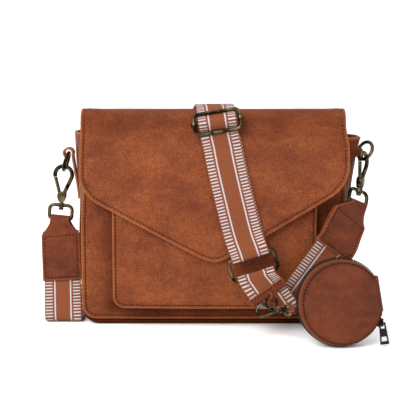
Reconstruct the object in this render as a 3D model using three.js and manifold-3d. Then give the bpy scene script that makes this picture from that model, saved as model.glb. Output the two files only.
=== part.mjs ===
// Leather flap crossbody bag with a patterned webbing strap and a clipped coin pouch.
// Millimetres, +Z up, front face towards -Y, origin at the centre of the base.

import * as THREE from "three";
import { mergeVertices } from "three/addons/utils/BufferGeometryUtils.js";
import Module from "manifold-3d";

const wasm = await Module();
wasm.setup();

// Driving dimensions
const GAP = 0.3;
const BAG = { halfWidth: 134, taper: 2, baseDepth: 76, frontTop: 192, backTop: 212, cornerRadius: 16 };
const PANEL = { thickness: 2, bottom: 6, cornerRadius: 14, crown: 5, frontLean: 8, backLean: 6 };
const FLAP = {
  thickness: 2.6,
  halfWidth: 134,
  topLeft: 133,
  topRight: 130.5,
  tip: 71,
  slopeLeft: 0.53,
  slopeRight: 0.593,
  tipRound: 8,
  cornerFrom: 116,
  cornerRadius: 18,
  crown: 1.5,
};
const POCKET = {
  halfWidth: 103,
  bottom: 21,
  top: 152,
  cornerRadius: 12,
  depthLow: 13,
  depthHigh: 7,
  wall: 1.8,
  crown: 2,
};
const STRAP = { width: 38, thickness: 1.6, endWidth: 40, endLeather: 2, endNeck: 9.6, endShoulder: 12.6 };
const FOLD = { radius: 9, angle: THREE.MathUtils.degToRad(55.5) };
const SIDE_RING = { radius: 9.5, wire: 1.8 };
const TAB = { width: 10, thickness: 2, loop: 4.8 };
const CLASP = { seat: 37, smallScale: 0.72, baseWire: 1.75, baseCorner: 4, baseTopCorner: 5.4 };
const BASE = { width: 23.6, height: 15.2 };
const SMALL_BASE = { width: 15, height: 10 };
const SLIDER = { width: 46.4, height: 20.4, corner: 6, wire: 1.75, bar: 1.6, eyeInner: 2.1, eyeOuter: 3.2 };
const STRAP_RING = { width: 46, height: 20.4, corner: 3.6, wire: 1.75 };
const PATCH = { width: 41, height: 9, thickness: 1.8 };
const SMALL_RING = { radius: 6.7, wire: 1 };
const POUCH = { radius: 41, wall: 2, rimHalf: 4, lean: 12, turn: 5 };
const ZIP_BAND = { radius: 40.1, width: 7, thickness: 1.4, from: 36, to: 345, steps: 31 };
const POUCH_FOLD = { reach: 38.3, angle: 7.8, from: -13, to: 34.6, width: 9.5, thickness: 1.6 };
const PULL = { length: 20, topWidth: 6, lowWidth: 8.7, thickness: 1.8, tilt: 6 };

const V = (x, y, z) => new THREE.Vector3(x, y, z);
const { lerp, clamp, degToRad, smoothstep } = THREE.MathUtils;

const LEATHER = { color: 0x96533a, roughness: 0.6, metalness: 0 };
const DARK_LEATHER = { color: 0x6f3d2b, roughness: 0.65, metalness: 0 };
const WEBBING = { color: 0xb08a74, roughness: 0.9, metalness: 0 };
const BRASS = { color: 0x8a7a5c, roughness: 0.35, metalness: 1 };
const ZIP = { color: 0x1e1a19, roughness: 0.6, metalness: 0.2 };
const PULL_METAL = { color: 0x4a433d, roughness: 0.4, metalness: 1 };

const bag = new THREE.Group();

// Adds one named piece to the bag.
function piece(name, geometry, look, parent = bag) {
  const mesh = new THREE.Mesh(geometry, new THREE.MeshStandardMaterial(look));
  mesh.name = name;
  parent.add(mesh);
  return mesh;
}

// Puts a group at a point, with its own x, y and z directions.
function place(origin, x, y, z, parent = bag) {
  const group = new THREE.Group();
  group.position.copy(origin);
  group.quaternion.setFromRotationMatrix(new THREE.Matrix4().makeBasis(x, y, z));
  parent.add(group);
  return group;
}

// Bare shared points of a geometry.
function bare(geometry) {
  const plain = new THREE.BufferGeometry();
  const source = geometry.index ? geometry.toNonIndexed() : geometry;
  plain.setAttribute("position", source.getAttribute("position").clone());
  return mergeVertices(plain, 1e-4);
}

function toSolid(geometry) {
  const merged = bare(geometry);
  const vertProperties = new Float32Array(merged.attributes.position.array);
  const triVerts = new Uint32Array(merged.index.array);
  return new wasm.Manifold(new wasm.Mesh({ numProp: 3, vertProperties, triVerts }));
}

function toGeometry(solid) {
  const mesh = solid.getMesh();
  const geometry = new THREE.BufferGeometry();
  geometry.setAttribute("position", new THREE.BufferAttribute(new Float32Array(mesh.vertProperties), 3));
  geometry.setIndex(new THREE.BufferAttribute(new Uint32Array(mesh.triVerts), 1));
  geometry.computeVertexNormals();
  return geometry;
}

// Closed solid between two grids of points with equal rows and columns.
function wall(outer, inner) {
  const rows = outer.length;
  const columns = outer[0].length;
  const points = [...outer.flat(), ...inner.flat()];
  const out = (r, c) => r * columns + c;
  const back = (r, c) => rows * columns + r * columns + c;
  const index = [];
  const quad = (a, b, c, d) => index.push(a, b, c, a, c, d);
  for (let r = 0; r < rows - 1; r += 1) {
    for (let c = 0; c < columns - 1; c += 1) {
      quad(out(r, c), out(r, c + 1), out(r + 1, c + 1), out(r + 1, c));
      quad(back(r, c), back(r + 1, c), back(r + 1, c + 1), back(r, c + 1));
    }
    quad(out(r, 0), out(r + 1, 0), back(r + 1, 0), back(r, 0));
    quad(out(r + 1, columns - 1), out(r, columns - 1), back(r, columns - 1), back(r + 1, columns - 1));
  }
  for (let c = 0; c < columns - 1; c += 1) {
    quad(out(0, c + 1), out(0, c), back(0, c), back(0, c + 1));
    quad(out(rows - 1, c), out(rows - 1, c + 1), back(rows - 1, c + 1), back(rows - 1, c));
  }
  let volume = 0;
  for (let i = 0; i < index.length; i += 3) {
    const [a, b, c] = [points[index[i]], points[index[i + 1]], points[index[i + 2]]];
    volume += a.dot(b.clone().cross(c));
  }
  if (volume < 0) {
    index.reverse();
  }
  const geometry = new THREE.BufferGeometry().setFromPoints(points);
  geometry.setIndex(index);
  geometry.computeVertexNormals();
  return geometry;
}

// Sheet of even thickness about a grid of middle points.
function sheet(grid, thickness) {
  const rows = grid.length;
  const columns = grid[0].length;
  const shifted = (side) => grid.map((row, r) => row.map((point, c) => {
    const along = grid[Math.min(r + 1, rows - 1)][c].clone().sub(grid[Math.max(r - 1, 0)][c]);
    const across = row[Math.min(c + 1, columns - 1)].clone().sub(row[Math.max(c - 1, 0)]);
    const normal = along.cross(across).normalize();
    return point.clone().addScaledVector(normal, side * thickness / 2);
  }));
  return wall(shifted(1), shifted(-1));
}

// Smooth run of middle points and width directions through stations { at, across }.
function run(stations, perSpan) {
  const path = new THREE.CatmullRomCurve3(stations.map((s) => s.at));
  const widths = new THREE.CatmullRomCurve3(stations.map((s) => s.across));
  const count = (stations.length - 1) * perSpan;
  return Array.from({ length: count + 1 }, (_, i) => {
    const t = i / count;
    const heading = path.getTangent(t);
    const across = widths.getPoint(t);
    across.addScaledVector(heading, -across.dot(heading)).normalize();
    return { at: path.getPoint(t), across, heading, normal: heading.clone().cross(across) };
  });
}

// Grid rows for a flat strip through frames, with a half width for each frame.
function strip(frames, halfWidth, columns = 2) {
  return frames.map((frame, i) => Array.from({ length: columns }, (_, c) => {
    const half = typeof halfWidth === "number" ? halfWidth : halfWidth(i, frame);
    return frame.at.clone().addScaledVector(frame.across, half * (2 * c / (columns - 1) - 1));
  }));
}

// Frames round part of a circle: centre, axis of the roll, first and second radius directions.
function roll(centre, axis, first, second, radius, fromDegrees, toDegrees, steps) {
  return Array.from({ length: steps + 1 }, (_, i) => {
    const angle = degToRad(lerp(fromDegrees, toDegrees, i / steps));
    const at = centre.clone();
    at.addScaledVector(first, radius * Math.cos(angle));
    at.addScaledVector(second, radius * Math.sin(angle));
    return { at, across: axis };
  });
}

// Round bar along an open curve.
function rod(points, radius, steps, sides = 8) {
  const corners = Array.from({ length: sides }, (_, i) => {
    const angle = (i / sides) * Math.PI * 2;
    return new THREE.Vector2(radius * Math.cos(angle), radius * Math.sin(angle));
  });
  const extrudePath = new THREE.CatmullRomCurve3(points);
  return new THREE.ExtrudeGeometry(new THREE.Shape(corners), { steps, extrudePath, bevelEnabled: false });
}

// Round wire bent to a rounded rectangle in the local XZ plane, centred on (0, 0, z).
function wireLoop(width, height, corner, radius, z = 0, topCorner = corner) {
  const sides = 7;
  const points = [];
  const corners = [
    { x: 1, z: 1, start: 0, bend: topCorner },
    { x: -1, z: 1, start: 90, bend: topCorner },
    { x: -1, z: -1, start: 180, bend: corner },
    { x: 1, z: -1, start: 270, bend: corner },
  ];
  for (const c of corners) {
    for (let i = 0; i <= 3; i += 1) {
      const angle = degToRad(c.start + i * 30);
      const px = c.x * (width / 2 - c.bend) + c.bend * Math.cos(angle);
      const pz = c.z * (height / 2 - c.bend) + c.bend * Math.sin(angle);
      points.push(V(px, 0, z + pz));
    }
  }
  const rings = points.map((point, i) => {
    const before = points[(i + points.length - 1) % points.length];
    const after = points[(i + 1) % points.length];
    const along = after.clone().sub(before).normalize();
    const outward = V(along.z, 0, -along.x);
    return Array.from({ length: sides }, (_, s) => {
      const angle = (s / sides) * Math.PI * 2;
      const at = point.clone().addScaledVector(outward, radius * Math.cos(angle));
      at.y += radius * Math.sin(angle);
      return at;
    });
  });
  return tubeFrom(rings);
}

// Closed tube skin through a closed round of cross-sections.
function tubeFrom(rings) {
  const sides = rings[0].length;
  const index = [];
  rings.forEach((_, r) => {
    const next = (r + 1) % rings.length;
    for (let s = 0; s < sides; s += 1) {
      const t = (s + 1) % sides;
      const [a, b, c, d] = [r * sides + s, r * sides + t, next * sides + t, next * sides + s];
      index.push(a, b, c, a, c, d);
    }
  });
  const points = rings.flat();
  let volume = 0;
  for (let i = 0; i < index.length; i += 3) {
    volume += points[index[i]].dot(points[index[i + 1]].clone().cross(points[index[i + 2]]));
  }
  const geometry = new THREE.BufferGeometry().setFromPoints(points);
  geometry.setIndex(volume < 0 ? index.reverse() : index);
  geometry.computeVertexNormals();
  return geometry;
}

// Round post along a direction between two points.
function post(from, to, radius, sides = 12) {
  const axis = to.clone().sub(from);
  const geometry = new THREE.CylinderGeometry(radius, radius, axis.length(), sides);
  geometry.applyQuaternion(new THREE.Quaternion().setFromUnitVectors(V(0, 1, 0), axis.clone().normalize()));
  return geometry.translate(...from.clone().add(to).multiplyScalar(0.5).toArray());
}

// Plate with an outline in the local XZ plane, centred on y = 0.
function plate(outline, thickness) {
  const shape = new THREE.Shape(outline.map((p) => new THREE.Vector2(p.x, p.z)));
  const geometry = new THREE.ExtrudeGeometry(shape, { depth: thickness, bevelEnabled: false });
  return geometry.translate(0, 0, -thickness / 2).rotateX(Math.PI / 2);
}

function joined(...geometries) {
  return geometries.map(toSolid).reduce((sum, solid) => sum.add(solid));
}

// Value of a column at a height, from a table sorted by z and held level beyond its ends.
function atHeight(table, z, column) {
  const height = clamp(z, table[0].z, table.at(-1).z);
  const i = Math.max(1, table.findIndex((row) => row.z >= height));
  const [a, b] = [table[i - 1], table[i]];
  return lerp(a[column], b[column], (height - a.z) / (b.z - a.z));
}

// Body walls
const halfAt = (z) => BAG.halfWidth - BAG.taper * (z / BAG.frontTop);
const frontMid = (z) => -BAG.baseDepth / 2 + PANEL.thickness / 2 + PANEL.frontLean * (z / BAG.frontTop);
const backMid = (z) => BAG.baseDepth / 2 - PANEL.thickness / 2 - PANEL.backLean * (z / BAG.frontTop);
const swell = (x, z) => (1 - (x / BAG.halfWidth) ** 2) * Math.sin(Math.PI * clamp(z / BAG.frontTop, 0, 1));
const panelMid = (x, z) => frontMid(z) - PANEL.crown * swell(x, z);

// Half width of an outline whose lower corners are rounded.
function roundedHalf(half, bottom, radius, z) {
  const rise = z - bottom;
  return rise >= radius ? half : half - radius + Math.sqrt(radius ** 2 - (radius - rise) ** 2);
}

// Rows of a wall round its lower corners, by rise above its lower edge
const CORNER_ROWS = [
  { rise: 0 },
  { rise: 1.2 },
  { rise: 3.5 },
  { rise: 7.5 },
  { rise: PANEL.cornerRadius },
];
const PANEL_SPANS = { up: 7, across: 8 };

function panelGrid(bottom, top, depthAt) {
  const heights = CORNER_ROWS.map((row) => bottom + row.rise);
  for (let i = 1; i <= PANEL_SPANS.up; i += 1) {
    heights.push(lerp(bottom + PANEL.cornerRadius, top, i / PANEL_SPANS.up));
  }
  return heights.map((z) => {
    const half = roundedHalf(halfAt(z), bottom, PANEL.cornerRadius, z);
    return Array.from({ length: PANEL_SPANS.across + 1 }, (_, c) => {
      const x = half * (2 * c / PANEL_SPANS.across - 1);
      return V(x, depthAt(x, z), z);
    });
  });
}

piece("front_panel", sheet(panelGrid(PANEL.bottom, BAG.frontTop, panelMid), PANEL.thickness), LEATHER);
const backGrid = panelGrid(1, BAG.backTop, (x, z) => backMid(z) + 3 * swell(x, z));
piece("back_panel", sheet(backGrid, PANEL.thickness), LEATHER);

// Gusset: outward swell of each side by height
const LEFT_SWELL = [
  { z: 14, out: 0 },
  { z: 30, out: 1.2 },
  { z: 60, out: 3.5 },
  { z: 90, out: 5 },
  { z: 127, out: 6.8 },
  { z: 150, out: 10.2 },
  { z: 164, out: 11.6 },
  { z: 180, out: 12.2 },
  { z: 197, out: 12.9 },
];
const RIGHT_SWELL = [
  { z: 14, out: 0 },
  { z: 30, out: 1.2 },
  { z: 60, out: 3.5 },
  { z: 90, out: 5.4 },
  { z: 120, out: 7.4 },
  { z: 150, out: 9.2 },
  { z: 177, out: 11 },
  { z: 184, out: 14 },
  { z: 192, out: 18.5 },
];
const sideSwell = (side, z) => atHeight(side < 0 ? LEFT_SWELL : RIGHT_SWELL, z, "out");

// Middle line of the gusset on one side, from its top down round the corner to the base.
const GUSSET_MID = PANEL.thickness / 2;
const BASE_STOP = 60;
const CORNER_STEPS = 4;
function gussetSide(side, table) {
  const radius = BAG.cornerRadius - GUSSET_MID;
  const centre = halfAt(BAG.cornerRadius) - BAG.cornerRadius;
  const straight = table.filter((row) => row.z > BAG.cornerRadius).reverse();
  const upright = straight.map(({ z }) => ({ x: side * (halfAt(z) - GUSSET_MID), z, nx: side, nz: 0 }));
  const corner = Array.from({ length: CORNER_STEPS + 1 }, (_, i) => {
    const angle = (Math.PI / 2) * (i / CORNER_STEPS);
    const [c, s] = [Math.cos(angle), Math.sin(angle)];
    return { x: side * (centre + radius * c), z: BAG.cornerRadius - radius * s, nx: side * c, nz: -s };
  });
  return [...upright, ...corner, { x: side * BASE_STOP, z: GUSSET_MID, nx: 0, nz: -1 }];
}

function gussetPath() {
  const middle = { x: 0, z: GUSSET_MID, nx: 0, nz: -1 };
  return [...gussetSide(1, RIGHT_SWELL), middle, ...gussetSide(-1, LEFT_SWELL).reverse()];
}

const GUSSET_COLUMNS = [
  { depth: -1, lip: 1 },
  { depth: -0.985, lip: 0.16 },
  { depth: -0.88, lip: 0 },
  { depth: -0.5, lip: 0 },
  { depth: 0, lip: 0 },
  { depth: 0.5, lip: 0 },
  { depth: 1, lip: 0 },
];
const gussetGrid = gussetPath().map((p) => GUSSET_COLUMNS.map((column) => {
  const base = Math.max(0, -p.nz);
  const sideFront = frontMid(p.z) + PANEL.thickness / 2 + 2.6 * GAP;
  const front = lerp(sideFront, -BAG.baseDepth / 2 + 0.6, base);
  const back = backMid(p.z) - PANEL.thickness / 2 - 3 * GAP;
  const y = lerp(front, back, (column.depth + 1) / 2);
  const out = Math.abs(p.nx) * sideSwell(p.nx, p.z) * (1 - column.depth ** 2);
  const inward = column.lip * 3.6 * base ** 2;
  return V(p.x + p.nx * (out - inward), y, p.z + p.nz * (out - inward));
}));
piece("gusset", sheet(gussetGrid, PANEL.thickness), LEATHER);

// Front pocket: a shallow tray, open at the top
const PANEL_FACE = PANEL.thickness / 2;
const pocketDepth = (z) => {
  const rise = (z - POCKET.bottom) / (POCKET.top - POCKET.bottom);
  return lerp(POCKET.depthLow, POCKET.depthHigh, rise);
};
const POCKET_RIM = [
  { inset: 0, rise: 0 },
  { inset: 0, rise: 0.55 },
  { inset: 0.9, rise: 0.88 },
  { inset: 3, rise: 1 },
];
const POCKET_SPANS = { across: 5, up: 4 };

function pocketGrid(shrink) {
  const bottom = POCKET.bottom + shrink;
  const heights = POCKET_RIM.map((rim) => ({ z: bottom + rim.inset, rise: rim.rise }));
  heights.push({ z: bottom + 7, rise: 1 }, { z: bottom + POCKET.cornerRadius, rise: 1 });
  for (let i = 1; i <= POCKET_SPANS.up; i += 1) {
    heights.push({ z: lerp(bottom + POCKET.cornerRadius, POCKET.top, i / POCKET_SPANS.up), rise: 1 });
  }
  const side = POCKET_RIM.map((rim) => ({ ...rim }));
  return heights.map((height) => {
    const half = roundedHalf(POCKET.halfWidth - shrink, bottom, POCKET.cornerRadius - shrink, height.z);
    const left = side.map((rim) => ({ x: -half + rim.inset, rise: rim.rise }));
    const inner = half - POCKET_RIM.at(-1).inset;
    const middle = Array.from({ length: POCKET_SPANS.across - 1 }, (_, i) => (
      { x: lerp(-inner, inner, (i + 1) / POCKET_SPANS.across), rise: 1 }));
    const right = side.map((rim) => ({ x: half - rim.inset, rise: rim.rise })).reverse();
    return [...left, ...middle, ...right].map((column) => {
      const rise = Math.min(column.rise, height.rise);
      const crown = POCKET.crown * (1 - (column.x / POCKET.halfWidth) ** 2);
      const depth = Math.max(0, pocketDepth(height.z) + crown - shrink) * rise;
      return V(column.x, panelMid(column.x, height.z) - PANEL_FACE - GAP - depth, height.z);
    });
  });
}
piece("front_pocket", wall(pocketGrid(0), pocketGrid(POCKET.wall)), LEATHER);

// Flap: middle line of its profile from the back seam over the top to the tip
const FLAP_BACK = [
  { y: 35.6, z: 184 },
  { y: 34.8, z: 206 },
  { y: 32, z: 214.8 },
  { y: 24.5, z: 219.4 },
  { y: 12, z: 220.2 },
  { y: -12, z: 220.2 },
  { y: -23, z: 219.2 },
  { y: -30, z: 214.5 },
  { y: -33.5, z: 206 },
];
const FLAP_FRONT = [
  { z: 60, y: -56.2 },
  { z: 72, y: -55.2 },
  { z: 105, y: -51.6 },
  { z: 148, y: -45.9 },
  { z: 192, y: -36.4 },
  { z: 206, y: -33.5 },
];
// Columns of the flap by share of its half width, and rows of its front by share of the drop to the hem
const FLAP_COLUMNS = [
  { share: 0 },
  { share: 0.09 },
  { share: 0.3 },
  { share: 0.58 },
  { share: 0.866 },
  { share: 0.94 },
  { share: 0.98 },
  { share: 1 },
];
const FLAP_ROWS = [
  { drop: 0.12 },
  { drop: 0.32 },
  { drop: 0.52 },
  { drop: 0.72 },
  { drop: 0.9 },
  { drop: 1 },
];
const hemAt = (x) => {
  const out = Math.hypot(x, FLAP.tipRound) - FLAP.tipRound;
  const past = Math.max(0, Math.abs(x) - FLAP.cornerFrom);
  const corner = FLAP.cornerRadius - Math.sqrt(Math.max(0, FLAP.cornerRadius ** 2 - past ** 2));
  return FLAP.tip + (x < 0 ? FLAP.slopeLeft : FLAP.slopeRight) * out + corner;
};
const flapCrown = (x, z) => FLAP.crown * (1 - (x / FLAP.halfWidth) ** 2) * smoothstep(210 - z, 0, 40);
const flapMid = (x, z) => atHeight(FLAP_FRONT, z, "y") - flapCrown(x, z);
const flapFace = (x, z) => flapMid(x, z) - FLAP.thickness / 2;

const rightShares = FLAP_COLUMNS.map((column) => column.share);
const flapShares = [...rightShares.slice(1).map((share) => -share).reverse(), ...rightShares];
const flapTopHalf = (share) => (share < 0 ? FLAP.topLeft : FLAP.topRight);
const flapTop = FLAP_BACK.map((p) => flapShares.map((share) => V(share * flapTopHalf(share), p.y, p.z)));
const flapFront = FLAP_ROWS.map((row) => flapShares.map((share) => {
  const half = lerp(flapTopHalf(share), FLAP.halfWidth, smoothstep(row.drop, 0, 0.6));
  const x = share * half;
  const z = lerp(FLAP_BACK.at(-1).z, hemAt(share * FLAP.halfWidth), row.drop);
  return V(x, flapMid(x, z), z);
}));
piece("flap", sheet([...flapTop, ...flapFront], FLAP.thickness), LEATHER);

// Side rings: seat of the hook, direction from the seat to the ring centre, wire direction at the seat
const LEFT_SEAT = V(-157, -4, 156.3);
const LEFT_UP = V(5.8, 0, 18.3).normalize();
const RIGHT_SEAT = V(154.3, -13, 171);
const RIGHT_UP = V(9, 20, 42).normalize();
const RIGHT_SLACK = 2.4;

function ringAt(name, seat, up, wireDirection, size) {
  const along = wireDirection.clone().addScaledVector(up, -wireDirection.dot(up)).normalize();
  const centre = seat.clone().addScaledVector(up, size.radius);
  const group = place(centre, along, up, along.clone().cross(up));
  piece(name, new THREE.TorusGeometry(size.radius, size.wire, 7, 16), BRASS, group);
  return { centre, along, up };
}
const leftRing = ringAt("ring_left", LEFT_SEAT, LEFT_UP, V(0, 1, 0), SIDE_RING);
const rightRest = RIGHT_SEAT.clone().addScaledVector(RIGHT_UP, -RIGHT_SLACK);
const rightRing = ringAt("ring_right", rightRest, RIGHT_UP, V(0.55, -0.835, 0), SIDE_RING);

// Leather tab from the gusset side, rolled round the ring wire at an angle from the ring top.
function ringTab(name, side, ring, fromTop) {
  const angle = degToRad(fromTop);
  const wireAt = ring.centre.clone();
  wireAt.addScaledVector(ring.up, SIDE_RING.radius * Math.cos(angle));
  wireAt.addScaledVector(ring.along, SIDE_RING.radius * Math.sin(angle));
  const axis = ring.along.clone().multiplyScalar(Math.cos(angle)).addScaledVector(ring.up, -Math.sin(angle));
  if (axis.y < 0) {
    axis.negate();
  }
  const inward = V(-side, 0, 0);
  inward.addScaledVector(axis, -inward.dot(axis)).normalize();
  const upward = axis.clone().cross(inward);
  if (upward.z < 0) {
    upward.negate();
  }
  const skin = TAB.thickness / 2 + GAP;
  const onSide = (z, y, off) => {
    const x = side * (halfAt(z) + sideSwell(side, z) + skin + off);
    return { at: V(x, y, z), across: V(0, 1, 0) };
  };
  const low = [onSide(126, 0, 0), onSide(137, -0.5, 0), onSide(148, -1.5, 0.2)];
  const loop = roll(wireAt, axis, inward, upward, TAB.loop, -25, 205, 8);
  const stations = [...low, ...loop];
  const taper = (i) => TAB.width / 2 * lerp(0.7, 1, smoothstep(i, 0, 6));
  piece(name, sheet(strip(run(stations, 2), taper), TAB.thickness), LEATHER);
}
ringTab("tab_left", -1, leftRing, 0);
ringTab("tab_right", 1, rightRing, -105);

// Swivel clasp, built upright about its swivel axis: hook above, base loop below
const HOOK = { wire: 1.85, gateWire: 1.55, pivotX: -2, pivotZ: 10.5 };
const BOW = { radius: 8.9, height: 32.2, from: -21, to: 200, steps: 7 };
const BLOCK_OUTLINE = [
  { x: -2.6, z: 3.2 },
  { x: 2.6, z: 3.2 },
  { x: 4.8, z: 9 },
  { x: 4.4, z: 14 },
  { x: -4.2, z: 14 },
  { x: -5, z: 9 },
];
const SLOT_OUTLINE = [
  { x: -7, z: 6.8 },
  { x: 0.6, z: 6.8 },
  { x: 0.6, z: 16 },
  { x: -7, z: 16 },
];

function hookSolid() {
  const bow = Array.from({ length: BOW.steps + 1 }, (_, i) => {
    const angle = degToRad(lerp(BOW.from, BOW.to, i / BOW.steps));
    return V(BOW.radius * Math.cos(angle), 0, BOW.height + BOW.radius * Math.sin(angle));
  });
  const arm = rod([V(2.6, 0, 12.4), V(5.5, 0, 20.7), ...bow], HOOK.wire, 13);
  const block = toSolid(plate(BLOCK_OUTLINE, 5.8)).subtract(toSolid(plate(SLOT_OUTLINE, 3.8)));
  const pin = post(V(HOOK.pivotX, -2.9, HOOK.pivotZ), V(HOOK.pivotX, 2.9, HOOK.pivotZ), 0.8, 8);
  const shank = post(V(0, 0, -3), V(0, 0, 5), 1.4, 10);
  const head = post(V(0, 0, -5), V(0, 0, -2.9), 2.6, 10);
  return joined(arm, pin, shank, head).add(block);
}

function gateSolid() {
  const tip = V(-8.05, 0, 28.55);
  const eye = post(V(HOOK.pivotX, -1.4, HOOK.pivotZ), V(HOOK.pivotX, 1.4, HOOK.pivotZ), 2.3, 10);
  const arm = rod([V(-2.75, 0, 12.4), V(-5, 0, 19.3), tip], HOOK.gateWire, 3);
  const bore = post(V(HOOK.pivotX, -4, HOOK.pivotZ), V(HOOK.pivotX, 4, HOOK.pivotZ), 1.3, 8);
  return joined(eye, arm).subtract(toSolid(bore));
}

function baseSolid({ width, height }) {
  const loop = wireLoop(width, height, CLASP.baseCorner, CLASP.baseWire, -height / 2, CLASP.baseTopCorner);
  const boss = post(V(0, 0, -2.4), V(0, 0, 2.4), 3.4, 12);
  const bore = post(V(0, 0, -4), V(0, 0, 4), 1.9, 10);
  return joined(loop, boss).subtract(toSolid(bore));
}

// Places a clasp so that its hook holds a wire at the seat; z runs from the base to the hook,
// y is square to the hook, and the base loop may be turned about z to its own bar direction.
function clasp(name, seat, z, y, base, scale = 1, barDirection = y.clone().cross(z)) {
  const origin = seat.clone().addScaledVector(z, -CLASP.seat * scale);
  const upper = place(origin, y.clone().cross(z), y, z);
  const lower = place(origin, barDirection, z.clone().cross(barDirection), z);
  const sized = (solid) => toGeometry(solid.scale([scale, scale, scale]));
  piece(`${name}_hook`, sized(hookSolid()), BRASS, upper);
  piece(`${name}_gate`, sized(gateSolid()), BRASS, upper);
  piece(`${name}_base`, sized(baseSolid(base)), BRASS, lower);
  const bar = origin.clone().addScaledVector(z, -base.height * scale);
  return { bar, barDirection };
}

// Direction made square to an axis.
function squared(direction, axis) {
  return direction.clone().addScaledVector(axis, -direction.dot(axis)).normalize();
}

const leftAxis = V(3.8, 2, 37.9).normalize();
const leftClasp = clasp("clasp_left", LEFT_SEAT, leftAxis, squared(V(0, 1, 0), leftAxis), BASE);
const rightTurn = squared(V(0.85, 0.45, -0.4), RIGHT_UP);
const rightFace = squared(V(-0.8, 0.6, 0), RIGHT_UP);
const rightClasp = clasp("clasp_right", RIGHT_SEAT, RIGHT_UP, rightFace, BASE, 1, rightTurn);

// Leather strap end: a strip folded round the base bar, with the webbing between its two layers
function strapEnd(name, stations, up, { bar, barDirection }) {
  const frames = run(stations, 4);
  const barRadius = CLASP.baseWire + GAP + STRAP.endLeather / 2 + 0.5;
  const layer = STRAP.thickness / 2 + 1.6 * GAP + STRAP.endLeather / 2;
  const reach = (i) => frames[i].at.distanceTo(bar);
  const halfFor = (distance) => {
    const shoulder = lerp(STRAP.endNeck, STRAP.endShoulder, smoothstep(distance, 2, 8));
    return lerp(shoulder, STRAP.endWidth / 2, smoothstep(distance, 9.5, 15.5));
  };
  const side = (sign) => frames.map((frame, i) => {
    const off = lerp(barRadius, layer, smoothstep(reach(i), 2, 14));
    const at = frame.at.clone().addScaledVector(frame.normal, sign * off);
    return { at, across: frame.across, half: halfFor(reach(i)) };
  }).filter((_, i) => reach(i) > 3);
  const normal = up.clone().cross(barDirection);
  const loop = roll(bar, barDirection, normal, up, barRadius, 0, 180, 8);
  const rolled = loop.map((frame) => ({ ...frame, half: halfFor(0) }));
  const rows = [...side(1), ...rolled, ...side(-1).reverse()];
  piece(name, sheet(strip(rows, (i, frame) => frame.half, 3), STRAP.endLeather), DARK_LEATHER);
  return frames;
}

const leftEndStations = [
  { at: V(-158.8, -22, 42.5), across: V(1, 0, 0) },
  { at: V(-160.4, -15, 72), across: V(1, 0, 0) },
  { at: leftClasp.bar.clone().addScaledVector(leftAxis, -12), across: leftClasp.barDirection },
  { at: leftClasp.bar, across: leftClasp.barDirection },
];
const leftEnd = strapEnd("strap_end_left", leftEndStations, leftAxis, leftClasp);

// Short webbing: two flat arms about a loose round fold that runs across the bag
const FOLD_START = V(61.5, -73, 30.2);
const FOLD_TURN = Math.PI * FOLD.radius;
function shortStrapAt(s, q) {
  const across = s * Math.cos(FOLD.angle) + q * Math.sin(FOLD.angle);
  const down = s * Math.sin(FOLD.angle) - q * Math.cos(FOLD.angle);
  const at = FOLD_START.clone();
  at.x += across;
  if (down < 0) {
    at.y += -0.2 * down;
    at.z -= down;
  } else if (down < FOLD_TURN) {
    at.y += FOLD.radius * (1 - Math.cos(down / FOLD.radius));
    at.z -= FOLD.radius * Math.sin(down / FOLD.radius);
  } else {
    at.y += 2 * FOLD.radius - 0.04 * (down - FOLD_TURN);
    at.z += down - FOLD_TURN;
  }
  return at;
}

const rightArmEnd = 98.5;
const armAcross = V(Math.sin(FOLD.angle), 0, -Math.cos(FOLD.angle));
const rightEndStations = [
  { at: shortStrapAt(rightArmEnd, 0), across: armAcross },
  { at: shortStrapAt(rightArmEnd + 9, 0), across: armAcross },
  { at: V(129.8, -48.5, 106), across: armAcross.clone().lerp(rightTurn, 0.4) },
  { at: rightClasp.bar.clone().addScaledVector(RIGHT_UP, -12).add(V(-5.6, -1, 0)), across: rightTurn },
  { at: rightClasp.bar, across: rightTurn },
];
const rightEnd = strapEnd("strap_end_right", rightEndStations, RIGHT_UP, rightClasp);

// Rectangular strap ring and the heading of the strap through it
const RING_HEADING = V(0.305, -0.15, -0.94).normalize();
const RING_ACROSS = squared(V(0.951, 0, 0.309), RING_HEADING);
const RING_OUT = RING_HEADING.clone().cross(RING_ACROSS);
const RING_CENTRE = V(38.2, -64.4, 69.3);
const ringGroup = place(RING_CENTRE, RING_ACROSS, RING_OUT.clone().negate(), RING_HEADING.clone().negate());
const ringWire = wireLoop(STRAP_RING.width, STRAP_RING.height, STRAP_RING.corner, STRAP_RING.wire);
piece("strap_ring", ringWire, BRASS, ringGroup);
const upperBar = RING_CENTRE.clone().addScaledVector(RING_HEADING, -STRAP_RING.height / 2);
const lowerBar = RING_CENTRE.clone().addScaledVector(RING_HEADING, STRAP_RING.height / 2);
const WRAP = STRAP_RING.wire + GAP + STRAP.thickness / 2;
const besideBar = (bar, out, along) => ({
  at: bar.clone().addScaledVector(RING_OUT, out).addScaledVector(RING_HEADING, along),
  across: RING_ACROSS,
});

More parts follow.
